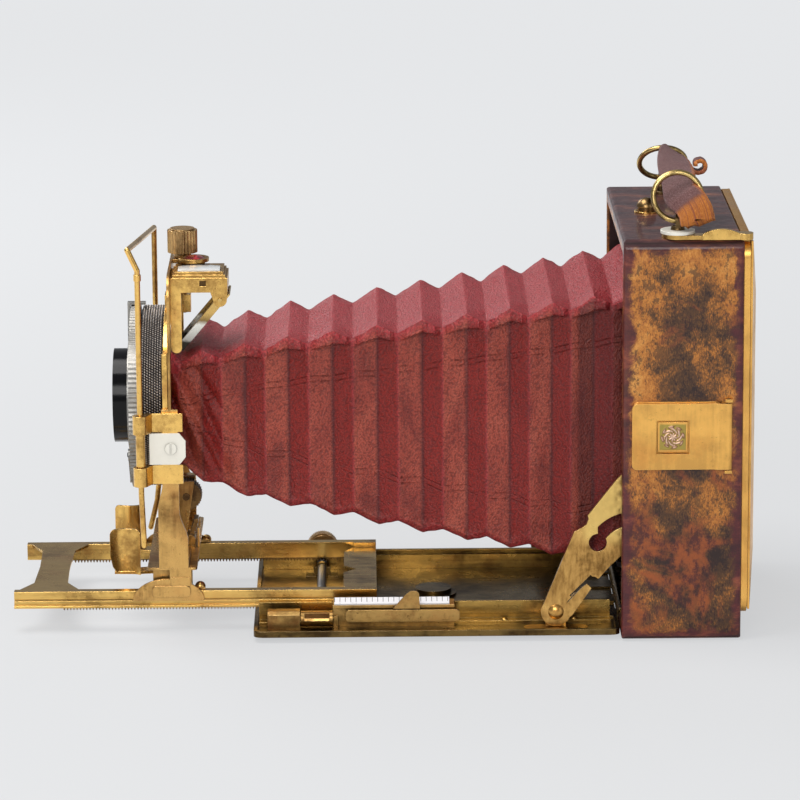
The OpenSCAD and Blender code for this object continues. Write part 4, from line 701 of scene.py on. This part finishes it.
def bellows_ring(x):
    """Half width, top and bottom of the bellows at x."""
    t = (BELLOWS_X[1] - x) / (BELLOWS_X[1] - BELLOWS_X[0])
    # The roof sags a little towards the body, and the floor hangs lower in front of it
    sag = 4.2 * (1 - min(1, max(0, -x / 125)) ** 1.6)
    hang = 2.2 - 8.7 * max(0, (min(x, -20) + 115) / 90) ** 1.25
    hang *= ease((x + 165) / 40) * (1 - ease((x + 12) / 20))
    w, top, bot = (a + b * t for a, b in zip(BODY_END, TAPER))
    return w, top - sag, bot + 21.5 * t ** 6 + hang


def fold_wave(x, pitch, ridge):
    """0 on a ridge of the top, 1 in its valley, with softly rounded folds."""
    u = (ridge - x) / pitch % 1.0
    v = u / VALLEY if u < VALLEY else (1 - u) / (1 - VALLEY)
    soft = 0.05
    v = v + soft * math.exp(-v / soft) * 0.6
    w = 1 - v
    return 1 - (w + soft * math.exp(-max(0.0, w) / soft) * 0.6)


def bulge(at, width, value):
    return math.exp(-((value - at) / width) ** 2)


# The folds lie this much nearer the back than even spacing gives, most in the middle
FOLD_SHIFT = (-55, 55, 2.9)


def fold_place(x):
    """Where x would lie if the folds were evenly spaced."""
    even = x
    for _ in range(8):
        even = x - bulge(*FOLD_SHIFT[:2], even) * FOLD_SHIFT[2]
    return even


def bellows_rows(T, B, c):
    """Heights of the side's points from top to bottom, closer together near both edges."""
    upper, middle, lower = SIDE_ROWS
    top = [T - c - d for d in upper]
    low_rows = [B + c + d for d in reversed(lower)]
    first, last = top[-1], low_rows[0]
    return top + [lerp(first, last, (k + 1) / (middle + 1)) for k in range(middle)] + low_rows


def bellows_surface(x, settings):
    """Points (y, z, below the top line, above the bottom line, side) round the bellows at x, and the fold."""
    pitch, ridge = settings.pitch * 1000, settings.ridge * 1000
    w, top, bot = bellows_ring(x)
    even = fold_place(x)
    tri = fold_wave(even, pitch, ridge)
    t = (BELLOWS_X[1] - x) / (BELLOWS_X[1] - BELLOWS_X[0])
    end = ease((x - BELLOWS_X[0]) / 5) * ease((BELLOWS_X[1] - x) / 5)
    slack = ease((t - 0.78) / 0.2)
    deep = settings.depth * 1000 * end
    T = top - deep * tri * 1.4
    B = bot + deep * tri * 1.05
    W = w - deep * 0.8 * (1 - tri) * (1 - 0.6 * slack) - 0.4
    c = CORNER
    rows = bellows_rows(T, B, c)
    across = [lerp(-W + c, W - c, k / ROOF_ROWS) for k in range(ROOF_ROWS + 1)]
    ring = [(-W + c * 0.3, T - 0.2, 0.45)] + [(-W, z, 1.0) for z in rows]
    ring += [(-W + c * 0.3, B + c * 0.35, 0.45)] + [(y, B, 0.0) for y in across]
    ring += [(W - c * 0.3, B + c * 0.35, 0.45)] + [(W, z, 1.0) for z in reversed(rows)]
    ring += [(W - c * 0.3, T - 0.2, 0.45)] + [(y, T, 0.0) for y in reversed(across)]
    out = []
    for y, z, side in ring:
        sign = -1 if y < 0 else 1
        down, up_ = T - z, z - B
        py, pz = y, z
        crumple = noise.noise(Vector((x * 0.22, sign * 3, z * 0.2)))
        creased = noise.noise(Vector((x * 0.5, sign * 3, z * 0.45)))
        if side > 0.3:
            # Gusset: at each ridge of the top the corner stays out, as a flap over the side's crease
            level = top - z
            reach = FLAP_REACH[0] + FLAP_REACH[1] * tri
            reach += FLAP_REACH[2] * noise.noise(Vector((x * 0.11, sign * 5, 1)))
            flap = (1 - ease((level - reach) / 0.8)) * ease((0.92 - tri) / 0.3)
            py += sign * flap * (deep * 0.8 * (1 - tri) + 0.4 + (1.3 + 0.6 * crumple + 0.5 * creased) * (1 - tri))
            lift = ease(level / reach) * flap
            py += sign * lift * 0.9
            foot = (1 - ease((up_ - 3.2 - crumple) / 1.6)) * max(0.0, 1 - tri * 1.8)
            py += sign * foot * (deep * 0.35)
            py -= sign * (1 - ease(up_ / 3.0)) * (1.2 + 0.5 * crumple)
        if side > 0.9:
            tall = max(1.0, T - B)
            bow = sin(pi * min(1, max(0, down / tall)))
            py -= sign * bow * 0.9
            if slack > 0:
                # Loose hide gathered to the front in long slanting folds
                for ax, az, slope, high_, width in LOOSE_FOLDS:
                    off = x - ax + (z - az) / slope
                    py += sign * high_ * bulge(0, width, off) * slack * ease(bow * 2.2) * 0.9
                py += sign * slack * bow * 1.6
        elif side < 0.3:
            mid = 1 - abs(y) / max(1, W)
            if z > (T + B) / 2:
                pz += deep * tri * 0.6 * ease(mid * 2.6) - 0.5 * ease(mid * 1.5) * end
            else:
                pz -= 0.7 * ease(mid * 1.5) * end
        rough = noise.noise(Vector((x * 0.13, y * 0.09, z * 0.09))) * 0.5
        rough += noise.noise(Vector((x * 0.42, y * 0.25, z * 0.25))) * 0.25
        near_edge = bulge(0, 4.5, min(abs(down), abs(up_)))
        rough += noise.noise(Vector((x * 0.3, y * 0.3, z * 0.3 + 7))) * 0.35 * near_edge
        if side > 0.3:
            py += sign * rough * end
        if side < 0.5:
            edge_y = bulge(0, 3.0, W - abs(y))
            pz += (rough * 0.4 + noise.noise(Vector((x * 0.3, sign * 2, 4))) * 0.4 * edge_y) * end
        out.append((py, pz, top - z, z - bot, side))
    return out, tri, (ridge - even) / pitch % 1.0


def bellows_stations(x_from, x_to, settings):
    """Values of x for the rings: the folds themselves, and points between that lie closer near them."""
    pitch, ridge = settings.pitch * 1000, settings.ridge * 1000
    marks = []
    k = -2
    while ridge - k * pitch > x_from - pitch:
        marks += [ridge - k * pitch, ridge - (k + VALLEY) * pitch]
        k += 1
    marks = sorted(marks)
    shares = (0.0, 0.05, 0.13, 0.25, 0.38, 0.5, 0.62, 0.75, 0.87, 0.95)
    inner = [lerp(a, b, f) for a, b in zip(marks, marks[1:]) for f in shares]
    inner = [x + bulge(*FOLD_SHIFT[:2], x) * FOLD_SHIFT[2] for x in inner]
    inner = [x for x in inner if x_from + 0.25 < x < x_to - 0.25]
    return [x_from] + inner + [x_to]


def bellows_piece(name, x_from, x_to, settings):
    """One stretch of the bellows between two values of x, a thin closed shell."""
    verts = []
    layers = {"skin": [], "edge": [], "fold": [], "panel": []}
    stations = bellows_stations(x_from, x_to, settings)
    for x in stations:
        ring, tri, turn = bellows_surface(x, settings)
        w, top, bot = bellows_ring(x)
        for y, z, down, up_, side in ring:
            if side < 0.3:
                around = -(y + w) if z > (top + bot) / 2 else top - bot + y + w
            else:
                around = top - z if y < 0 else z - top - 2 * w
            verts.append(mm(x, y, z))
            layers["skin"].append((x / 100 * 1.12, around / 100))
            layers["edge"].append((down / 100, up_ / 100))
            layers["fold"].append((tri, side))
            layers["panel"].append((turn, side))
    faces = bands(len(stations), len(ring))
    obj = thicken(make(name, verts, faces, FINISHES["bellows"], True, layers, merge=0), HIDE)
    for p in obj.data.polygons:
        p.use_smooth = True
    sharpen(obj, 24)
    return obj


# Settings that a user may change

class PlateCameraSizes(bpy.types.PropertyGroup):
    """Sizes of the dressed pieces."""

    pitch: bpy.props.FloatProperty(name="Fold spacing", description="Distance between two ridges of the bellows",
                                   default=0.0167, min=0.012, max=0.02, unit="LENGTH")
    ridge: bpy.props.FloatProperty(name="First ridge", description="Place of the ridge nearest the back",
                                   default=0.0214, unit="LENGTH")
    depth: bpy.props.FloatProperty(name="Fold depth", description="How far each fold of the bellows is drawn in",
                                   default=0.0034, min=0.001, max=0.006, unit="LENGTH")
    strap_width: bpy.props.FloatProperty(name="Strap width", description="Width of the carrying strap",
                                         default=0.0134, min=0.008, max=0.016, unit="LENGTH")
    strap_thick: bpy.props.FloatProperty(name="Strap thickness", description="Thickness of the carrying strap",
                                         default=0.0024, min=0.001, max=0.004, unit="LENGTH")
    knurl_count: bpy.props.IntProperty(name="Drum teeth", description="Teeth round the shutter drum",
                                       default=212, min=60, max=300)
    knurl_height: bpy.props.FloatProperty(name="Drum tooth height", description="Height of the drum's teeth",
                                          default=0.00042, min=0.0001, max=0.0008, unit="LENGTH")
    rivet: bpy.props.FloatProperty(name="Rivet radius", description="Radius of the domed rivets",
                                   default=0.0013, min=0.001, max=0.002, unit="LENGTH")


class PlateCameraStage(bpy.types.PropertyGroup):
    """Floor, light and camera."""

    backdrop: bpy.props.FloatVectorProperty(name="Backdrop", description="Colour of the floor and the background",
                                            subtype="COLOR", size=3, default=(0.79, 0.80, 0.815), min=0, max=1)
    elevation: bpy.props.FloatProperty(name="Camera elevation", description="Height angle of the camera",
                                       default=radians(13.189), subtype="ANGLE")
    azimuth: bpy.props.FloatProperty(name="Camera azimuth", description="Angle of the camera round the object",
                                     default=radians(-0.478), subtype="ANGLE")


# Strength of the floor's own glow far off and near the object, how far the near part reaches in metres, and its share
GLOW = (1.2, 0.875)
GLOW_REACH, GLOW_SHARE = 1.2, 0.8
# Half the floor's width in metres, and the rows of faces across it
FLOOR_HALF, FLOOR_ROWS = 9.0, 24
# Colour and strength of the light from all round
FILL_COLOUR, FILL_STRENGTH = (0.93, 0.96, 1.0), 0.3
# Name, place, aim, width, height, watts and colour of each lamp
LAMPS = (
    ("Top softbox", (-0.4, -0.05, 1.15), (-0.02, 0, 0.06), 0.9, 0.6, 13.0, (1, 0.985, 0.96)),
    ("Front softbox", (-0.2, -1.45, 0.75), (-0.02, 0, 0.08), 0.9, 0.6, 12.5, (1, 0.99, 0.97)),
    ("Back softbox", (-0.6, 0.9, 0.7), (0, 0, 0.08), 0.5, 0.5, 4.0, (0.95, 0.97, 1)),
    ("Side strip", (1.1, -0.9, 0.4), (0.05, 0, 0.08), 0.2, 1.0, 1.6, (1, 1, 1)),
)
# The camera's aim in millimetres, its distance in metres, its roll, and its focal length in pixels of the frame
CAMERA_AIM, CAMERA_AWAY, CAMERA_ROLL = (-84.871, 0, 82.998), 1.735716, radians(-0.376)
CAMERA_FOCAL, FRAME_PIXELS = 4376.297, 800


class PLATECAMERA_OT_stage(bpy.types.Operator):
    """Adds the floor, the lamps and the camera"""

    bl_idname = "platecamera.stage"
    bl_label = "Stage"

    def execute(self, context):
        s = context.scene.plate_camera_stage
        scene = context.scene
        scene.view_settings.view_transform = "Standard"
        pale = tuple(s.backdrop)
        world = bpy.data.worlds.new("Studio")
        scene.world = world
        world.use_nodes = True
        world.node_tree.nodes.clear()
        w = Nodes(world.node_tree)
        path = w.node("ShaderNodeLightPath").outputs
        seen = w.node("ShaderNodeBackground", {"Color": pale, "Strength": 1.0})
        fill = w.node("ShaderNodeBackground", {"Color": FILL_COLOUR, "Strength": FILL_STRENGTH})
        most = w.node("ShaderNodeMath", {0: path["Is Camera Ray"], 1: path["Is Transmission Ray"]}, operation="MAXIMUM")
        mix = w.node("ShaderNodeMixShader", {0: most.outputs[0], 1: fill.outputs[0], 2: seen.outputs[0]})
        w.node("ShaderNodeOutputWorld", {"Surface": mix.outputs[0]})

        f = Finish("Pale floor", pale, 0.0, 0.9)
        f.put("Specular IOR Level", 0.1)
        cloud = f.noise(3, detail=3)
        f.put("Base Color", f.mix(f.span(cloud, 0.3, 0.7, 0, 0.06), pale, tuple(c * 0.97 for c in pale)))
        x, y, _ = f.split(f.place())
        near = f.math("POWER", (x * x + y * y) / GLOW_REACH ** 2 + 1.0, -1.5)
        glow = f.node("ShaderNodeEmission", {"Color": pale, "Strength": f.span(near, 0, 1, *GLOW)}).outputs[0]
        share = f.math("MULTIPLY", f.node("ShaderNodeLightPath").outputs["Is Camera Ray"], GLOW_SHARE)
        blend = f.node("ShaderNodeMixShader", {0: share, 1: f.bsdf.outputs[0], 2: glow})
        f.link(blend.outputs[0], f.tree.nodes["Material Output"].inputs["Surface"])

        def spot(i, j):
            return (lerp(-FLOOR_HALF, FLOOR_HALF, i / FLOOR_ROWS),
                    lerp(-FLOOR_HALF * 0.5, FLOOR_HALF * 1.5, j / FLOOR_ROWS), -0.0002)

        verts, faces = grid(FLOOR_ROWS, spot)
        floor = make("Floor", verts, faces, f.material, False)

        for name, place, aim, wide, tall, watts, colour in LAMPS:
            data = bpy.data.lights.new(name, "AREA")
            data.energy, data.color, data.shape = watts, colour, "RECTANGLE"
            data.size, data.size_y = wide, tall
            obj = bpy.data.objects.new(name, data)
            scene.collection.objects.link(obj)
            obj.location = place
            obj.rotation_euler = (Vector(aim) - Vector(place)).to_track_quat("-Z", "Y").to_euler()

        az, el, roll = s.azimuth, s.elevation, CAMERA_ROLL
        back = Vector((sin(az) * cos(el), -cos(az) * cos(el), sin(el)))
        right = Vector((cos(az), sin(az), 0))
        up = back.cross(right)
        axes = (right * cos(roll) + up * sin(roll), up * cos(roll) - right * sin(roll), back)
        data = bpy.data.cameras.new("Camera")
        data.sensor_fit = "HORIZONTAL"
        data.sensor_width = 36
        data.lens = CAMERA_FOCAL / FRAME_PIXELS * data.sensor_width
        data.clip_start, data.clip_end = 0.05, 50
        cam = bpy.data.objects.new("Camera", data)
        m = Matrix(axes).transposed().to_4x4()
        m.translation = mm(*CAMERA_AIM) + back * CAMERA_AWAY
        cam.matrix_world = m
        scene.collection.objects.link(cam)
        scene.camera = cam
        return {"FINISHED"}


class PLATECAMERA_OT_finishes(bpy.types.Operator):
    """Gives every frame piece its finish"""

    bl_idname = "platecamera.finishes"
    bl_label = "Finishes"

    def execute(self, context):
        build_finishes()
        for key, names in DRESS.items():
            for name in names:
                obj = NODES[name]
                if not obj.material_slots:
                    raise RuntimeError("no material slot on " + name)
                for slot in obj.material_slots:
                    slot.material = FINISHES[key]
        return {"FINISHED"}


class PLATECAMERA_OT_bellows(bpy.types.Operator):
    """Builds the bellows in four stretches, cut where the track, the carriage and the frame are"""

    bl_idname = "platecamera.bellows"
    bl_label = "Bellows"

    def execute(self, context):
        s = context.scene.plate_camera_sizes
        cuts = [BELLOWS_X[1], *BELLOWS_CUTS, BELLOWS_X[0]]
        links = [("camera", "track"), ("track", "carriage"), ("carriage", "frame"), ("frame", "panel")]
        z = BELLOWS_AXIS
        for i, (a, b) in enumerate(links):
            obj = bellows_piece("Bellows_%d" % (i + 1), cuts[i + 1], cuts[i], s)
            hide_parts("bellows")
            tuple(mm(cuts[i], 0, z))
            tuple(mm(cuts[i + 1], 0, z))
            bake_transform(obj)
        return {"FINISHED"}


# Places on the frame where the added pieces sit, in millimetres
DRUM_BACK, DRUM_LONG, DRUM_ROWS = 0.5, 8.2, 16
ROSETTE, ROSETTE_HALF, ROSETTE_ROWS, RELIEF_BACK = (19.1, 81.7, -60.8), 5.0, 56, 0.3
FINDER_GLASS = ((low("finder_body").x + 2.95, high("finder_body").x - 2.95), (-25.25, -15.95), 140.2)
GLASS_ROWS, GLASS_RISE, GLASS_DOME = 16, 0.75, 0.9
# Rivet rows: first and last x, y to either side, z; their count and height for a radius of 1
RIVET_COUNT, RIVET_RISE = 5, 0.62
RIVETS = (low("guides").x + 14, high("guides").x - 14, 41.4, low("guides").z + 1.0)


def body_of(node):
    """The CAD body that carries a node."""
    return next(body for body, names in frame["record"]["behaviour"]["bodies"].items() if node in names)


class PLATECAMERA_OT_drum(bpy.types.Operator):
    """Builds the diamond knurling round the shutter drum"""

    bl_idname = "platecamera.drum"
    bl_label = "Drum knurling"

    def execute(self, context):
        s = context.scene.plate_camera_sizes
        lo, hi = low("shutter_case"), high("shutter_case")
        r0 = (hi.y - lo.y) / 2
        cz = (hi.z + lo.z) / 2
        x1 = hi.x - DRUM_BACK
        x0 = x1 - DRUM_LONG
        n, rows = s.knurl_count * 2, DRUM_ROWS
        rise = s.knurl_height * 1000
        verts, tips, faces = [], [], []
        profile = [(x0 + 0.15, -0.5, 0)]
        profile += [(lerp(x0 + 0.15, x1 - 0.15, j / rows), 0.02, 1) for j in range(rows + 1)]
        profile += [(x1 - 0.15, -0.5, 0)]
        for j, (x, base, on) in enumerate(profile):
            for i in range(n):
                tip = 1.0 if on and j % 2 == 0 and j < rows + 1 and (i + j // 2) % 2 == 0 else 0.0
                if tip:
                    tip = 0.75 + 0.25 * noise.noise(Vector((i * 0.9, j * 1.7, 0)))
                a = 2 * pi * i / n
                radius = r0 + base + rise * tip
                verts.append(mm(x, radius * cos(a), cz + radius * sin(a)))
                tips.append((tip, on))
        for j in range(len(profile)):
            k = (j + 1) % len(profile)
            faces += [(j * n + i, k * n + i, k * n + (i + 1) % n, j * n + (i + 1) % n) for i in range(n)]
        obj = make("Drum_knurling", verts, faces, FINISHES["knurl"], False, {"tip": tips}, merge=1e-7)
        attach(obj, body_of("shutter_case"))
        return {"FINISHED"}


class PLATECAMERA_OT_relief(bpy.types.Operator):
    """Builds the rosette seen through the window of the side flap"""

    bl_idname = "platecamera.relief"
    bl_label = "Rosette"

    def execute(self, context):
        cx, cz, y = ROSETTE
        n = ROSETTE_ROWS
        heights = []

        def point(i, j):
            u, v = 2 * i / n - 1, 2 * j / n - 1
            rho, a = math.hypot(u, v), math.atan2(v, u)
            petals = abs(sin(a * 4 + 2.4 * sin(rho * 6))) * (0.4 + 0.6 * abs(sin(rho * 8.5)))
            h = petals * ease((1 - rho) / 0.22) + 0.5 * bulge(0, 0.14, rho)
            h += 0.3 * noise.noise(Vector((u * 9, v * 9, 2))) * ease((1 - rho) / 0.3)
            h = max(0.0, min(1.0, h))
            heights.append((h, rho))
            return mm(cx + u * ROSETTE_HALF, y - 0.02 - 0.28 * h, cz + v * ROSETTE_HALF)

        verts, faces = grid(n, point)
        obj = thicken(make("Rosette", verts, faces, FINISHES["relief"], True, {"relief": heights}), RELIEF_BACK)
        if low("sight_plate").y > y:
            raise RuntimeError("the rosette is off its plate")
        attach(obj, body_of("sight_plate"))
        return {"FINISHED"}


class PLATECAMERA_OT_finder_glass(bpy.types.Operator):
    """Builds the domed glass on top of the finder"""

    bl_idname = "platecamera.finder_glass"
    bl_label = "Finder glass"

    def execute(self, context):
        (x0, x1), (y0, y1), z = FINDER_GLASS
        n = GLASS_ROWS

        def point(i, j):
            u, v = 2 * i / n - 1, 2 * j / n - 1
            dome = sqrt(max(0.0, 1 - 0.5 * u * u - 0.5 * v * v))
            return mm(lerp(x0, x1, i / n), lerp(y0, y1, j / n), z + GLASS_RISE + GLASS_DOME * dome)

        verts, faces = grid(n, point)
        top = len(verts)
        rim = [i for i in range(n + 1)] + [j * (n + 1) + n for j in range(1, n + 1)]
        rim += [n * (n + 1) + i for i in reversed(range(n))] + [j * (n + 1) for j in reversed(range(1, n))]
        verts += [Vector((*verts[i][:2], mm(0, 0, z + 0.02).z)) for i in rim]
        for k in range(len(rim)):
            l = (k + 1) % len(rim)
            faces.append((rim[k], top + k, top + l, rim[l]))
        faces.append(tuple(top + k for k in range(len(rim))))
        obj = make("Finder_glass", verts, faces, FINISHES["opal"], True, merge=1e-7)
        sharpen(obj, 40)
        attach(obj, body_of("finder_body"))
        return {"FINISHED"}


def rivet_group():
    """Geometry nodes: domed heads along a line, joined into one mesh."""
    g = bpy.data.node_groups.new("Rivet row", "GeometryNodeTree")
    g.interface.new_socket(name="Geometry", in_out="OUTPUT", socket_type="NodeSocketGeometry")
    for name, kind in (("Start", "Vector"), ("End", "Vector"), ("Count", "Int"), ("Radius", "Float"),
                       ("Height", "Float"), ("Material", "Material")):
        g.interface.new_socket(name=name, in_out="INPUT", socket_type="NodeSocket" + kind)
    w = Nodes(g)
    given = w.node("NodeGroupInput").outputs
    line = w.node("GeometryNodeMeshLine", {"Count": given["Count"], "Start Location": given["Start"],
                                           "Offset": given["End"]}, mode="END_POINTS")
    ball = w.node("GeometryNodeMeshUVSphere", {"Segments": 24, "Rings": 14, "Radius": given["Radius"]})
    flat = w.node("ShaderNodeMath", {0: given["Height"], 1: given["Radius"]}, operation="DIVIDE")
    size = w.node("ShaderNodeCombineXYZ", {0: 1, 1: 1, 2: flat.outputs[0]})
    squash = w.node("GeometryNodeTransform", {"Geometry": ball.outputs["Mesh"], "Scale": size.outputs[0]})
    smooth = w.node("GeometryNodeSetShadeSmooth", {"Geometry": squash.outputs["Geometry"]})
    spread = w.node("GeometryNodeInstanceOnPoints", {"Points": line.outputs["Mesh"],
                                                     "Instance": smooth.outputs["Geometry"]})
    real = w.node("GeometryNodeRealizeInstances", {"Geometry": spread.outputs["Instances"]})
    paint = w.node("GeometryNodeSetMaterial", {"Geometry": real.outputs["Geometry"], "Material": given["Material"]})
    w.node("NodeGroupOutput", {"Geometry": paint.outputs["Geometry"]})
    return g


class PLATECAMERA_OT_rivets(bpy.types.Operator):
    """Builds the rows of domed rivets on the guides"""

    bl_idname = "platecamera.rivets"
    bl_label = "Rivet rows"

    def execute(self, context):
        s = context.scene.plate_camera_sizes
        group = rivet_group()
        keys = {i.name: i.identifier for i in group.interface.items_tree if i.in_out == "INPUT"}
        for name, side in (("Rivets_near", -1), ("Rivets_far", 1)):
            x0, x1, y, z = RIVETS
            obj = bpy.data.objects.new(name, bpy.data.meshes.new(name))
            context.scene.collection.objects.link(obj)
            m = obj.modifiers.new("rivets", "NODES")
            m.node_group = group
            values = {"Start": tuple(mm(x0, side * y, z)), "End": tuple(mm(x1, side * y, z)), "Count": RIVET_COUNT,
                      "Radius": s.rivet, "Height": s.rivet * RIVET_RISE, "Material": FINISHES["gold"]}
            for key, value in values.items():
                m[keys[key]] = value
            bake(obj)
            if not obj.data.polygons:
                raise RuntimeError("no rivets on " + name)
            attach(obj, body_of("guides"))
        return {"FINISHED"}


# The strap's middle line: x, y, z in millimetres and roll in degrees
STRAP = [(27.8, -61.5, 165.5, -36), (27, -59.5, 169.5, -36), (24.5, -54, 173, -33), (22, -49, 174.4, -30),
         (22, -38, 178.6, -18), (22, -20, 180, -5), (22.5, 0, 180, 10), (23.5, 18, 178.5, 30),
         (24.5, 30, 176, 50), (25.5, 38, 172.5, 62)]
# Steps between two of its points, and points round its section
STRAP_STEPS, STRAP_SIDES = 9, 40
# The scrap's outline seen along Y: x and z in millimetres
SCRAP = [(26.4, 179.2), (28.8, 177.6), (31.4, 176.7), (33.7, 177.9), (33.9, 180.2), (32.3, 181.4), (30.4, 180.8),
         (30.2, 179.3)]
# Half its thickness, its two ends in y, and the points between them
SCRAP_HALF, SCRAP_Y, SCRAP_ROWS = 0.8, (-18.4, -12.6), 7


def smooth_path(points, per):
    """A smooth curve through points, with per steps between two of them."""
    out = []
    n = len(points)
    for i in range(n - 1):
        p = [Vector(points[max(0, min(n - 1, i + k))]) for k in (-1, 0, 1, 2)]
        for j in range(per):
            t = j / per
            out.append(0.5 * (2 * p[1] + (p[2] - p[0]) * t + (2 * p[0] - 5 * p[1] + 4 * p[2] - p[3]) * t * t
                              + (3 * p[1] - p[0] - 3 * p[2] + p[3]) * t ** 3))
    out.append(Vector(points[-1]))
    return out


class PLATECAMERA_OT_strap(bpy.types.Operator):
    """Builds the worn carrying strap with its torn ends"""

    bl_idname = "platecamera.strap"
    bl_label = "Carrying strap"

    def execute(self, context):
        s = context.scene.plate_camera_sizes
        width, thick = s.strap_width * 1000, s.strap_thick * 1000
        path = smooth_path([Vector(p) for p in STRAP], STRAP_STEPS)
        spine = [Vector(p[:3]) for p in path]
        n = len(path)
        length = [0.0]
        for i in range(1, n):
            length.append(length[-1] + (spine[i] - spine[i - 1]).length)
        section = []
        m = STRAP_SIDES
        for k in range(m):
            a = 2 * pi * k / m
            c, d = cos(a), sin(a)
            section.append((math.copysign(abs(c) ** 0.35, c) * 0.5, math.copysign(abs(d) ** 0.6, d) * 0.5))
        verts, uv = [], []
        for i in range(n):
            ahead = (spine[min(n - 1, i + 1)] - spine[max(0, i - 1)]).normalized()
            roll = radians(path[i][3])
            side = Vector((cos(roll), 0, -sin(roll)))
            side = (side - ahead * side.dot(ahead)).normalized()
            up = ahead.cross(side) * -1
            if up.z < 0 and abs(up.z) > 0.3:
                up = -up
            for u, v in section:
                w = width * (1 - 0.25 * ease((spine[i].y + 25) / 50))
                full = thick * (1 + 0.9 * (1 - ease(length[i] / 11)))
                cup = 0.5 * (u * 2) ** 2
                wob = noise.noise(Vector((u * 9, v * 3, length[i] * 0.18))) * 0.35
                fray = 0.0
                if i in (0, n - 1):
                    fray = noise.noise(Vector((u * 14, v * 9, i))) * 1.8 * (1 if i else -1)
                p = spine[i] + side * (u * w) + up * (v * full + wob - cup) + ahead * fray
                verts.append(mm(*p))
                uv.append((length[i] / 100, u))
        faces = bands(n, m)
        for end, row in ((0, 0), (n - 1, n - 1)):
            centre = len(verts)
            verts.append(sum((verts[row * m + k] for k in range(m)), Vector()) / m
                         + Vector((0, -0.0006 if end == 0 else 0.0006, 0)))
            uv.append((0 if end == 0 else length[-1] / 100, 0))
            for k in range(m):
                l = (k + 1) % m
                faces.append((centre, row * m + l, row * m + k) if end == 0 else (centre, row * m + k, row * m + l))
        # Scrap of hide that curls up from the right edge
        curl = smooth_path([Vector((x, 0, z)) for x, z in SCRAP], 5)
        steps = SCRAP_ROWS
        base = len(verts)
        loop = [(-1, j) for j in range(steps)] + [(1, j) for j in reversed(range(steps))]
        for i, p in enumerate(curl):
            ahead = (curl[min(len(curl) - 1, i + 1)] - curl[max(0, i - 1)]).normalized()
            out = Vector((ahead.z, 0, -ahead.x)) * SCRAP_HALF
            for lift, j in loop:
                y = lerp(*SCRAP_Y, j / (steps - 1))
                y += noise.noise(Vector((i * 0.5, j * 2.0, lift))) * (0.9 if j in (0, steps - 1) else 0.2)
                verts.append(mm(*(p + out * lift + Vector((0, y, 0)))))
                uv.append((0.4 + i * 0.01, 0.5 if j in (0, steps - 1) else lerp(-0.3, 0.3, j / (steps - 1))))
        row = len(loop)
        faces += bands(len(curl), row, base)
        faces.append(tuple(range(base, base + row))[::-1])
        faces.append(tuple(range(len(verts) - row, len(verts))))
        obj = make("Strap", verts, faces, FINISHES["strap"], True, {"strap": uv}, merge=0)
        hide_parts("handle_strap")
        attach(obj, "handle")
        return {"FINISHED"}


class PLATECAMERA_PT_panel(bpy.types.Panel):
    """Shows the settings and a button for each step"""

    bl_idname = "PLATECAMERA_PT_panel"
    bl_label = "Plate Camera"
    bl_space_type = "VIEW_3D"
    bl_region_type = "UI"
    bl_category = "Plate Camera"

    def draw(self, context):
        for key in ("plate_camera_sizes", "plate_camera_stage"):
            group = getattr(context.scene, key)
            box = self.layout.box()
            for prop in group.__annotations__:
                box.prop(group, prop)
        for cls in OPERATORS:
            self.layout.operator(cls.bl_idname)


OPERATORS = (PLATECAMERA_OT_stage, PLATECAMERA_OT_finishes, PLATECAMERA_OT_bellows, PLATECAMERA_OT_drum,
             PLATECAMERA_OT_relief, PLATECAMERA_OT_finder_glass, PLATECAMERA_OT_rivets, PLATECAMERA_OT_strap)
CLASSES = (PlateCameraSizes, PlateCameraStage) + OPERATORS + (PLATECAMERA_PT_panel,)


def register():
    for cls in CLASSES:
        bpy.utils.register_class(cls)
    bpy.types.Scene.plate_camera_sizes = bpy.props.PointerProperty(type=PlateCameraSizes)
    bpy.types.Scene.plate_camera_stage = bpy.props.PointerProperty(type=PlateCameraStage)


def unregister():
    del bpy.types.Scene.plate_camera_stage
    del bpy.types.Scene.plate_camera_sizes
    for cls in reversed(CLASSES):
        bpy.utils.unregister_class(cls)


def main():
    register()
    for cls in OPERATORS:
        group, name = cls.bl_idname.split(".")
        getattr(getattr(bpy.ops, group), name)()


if __name__ == "__main__":
    main()
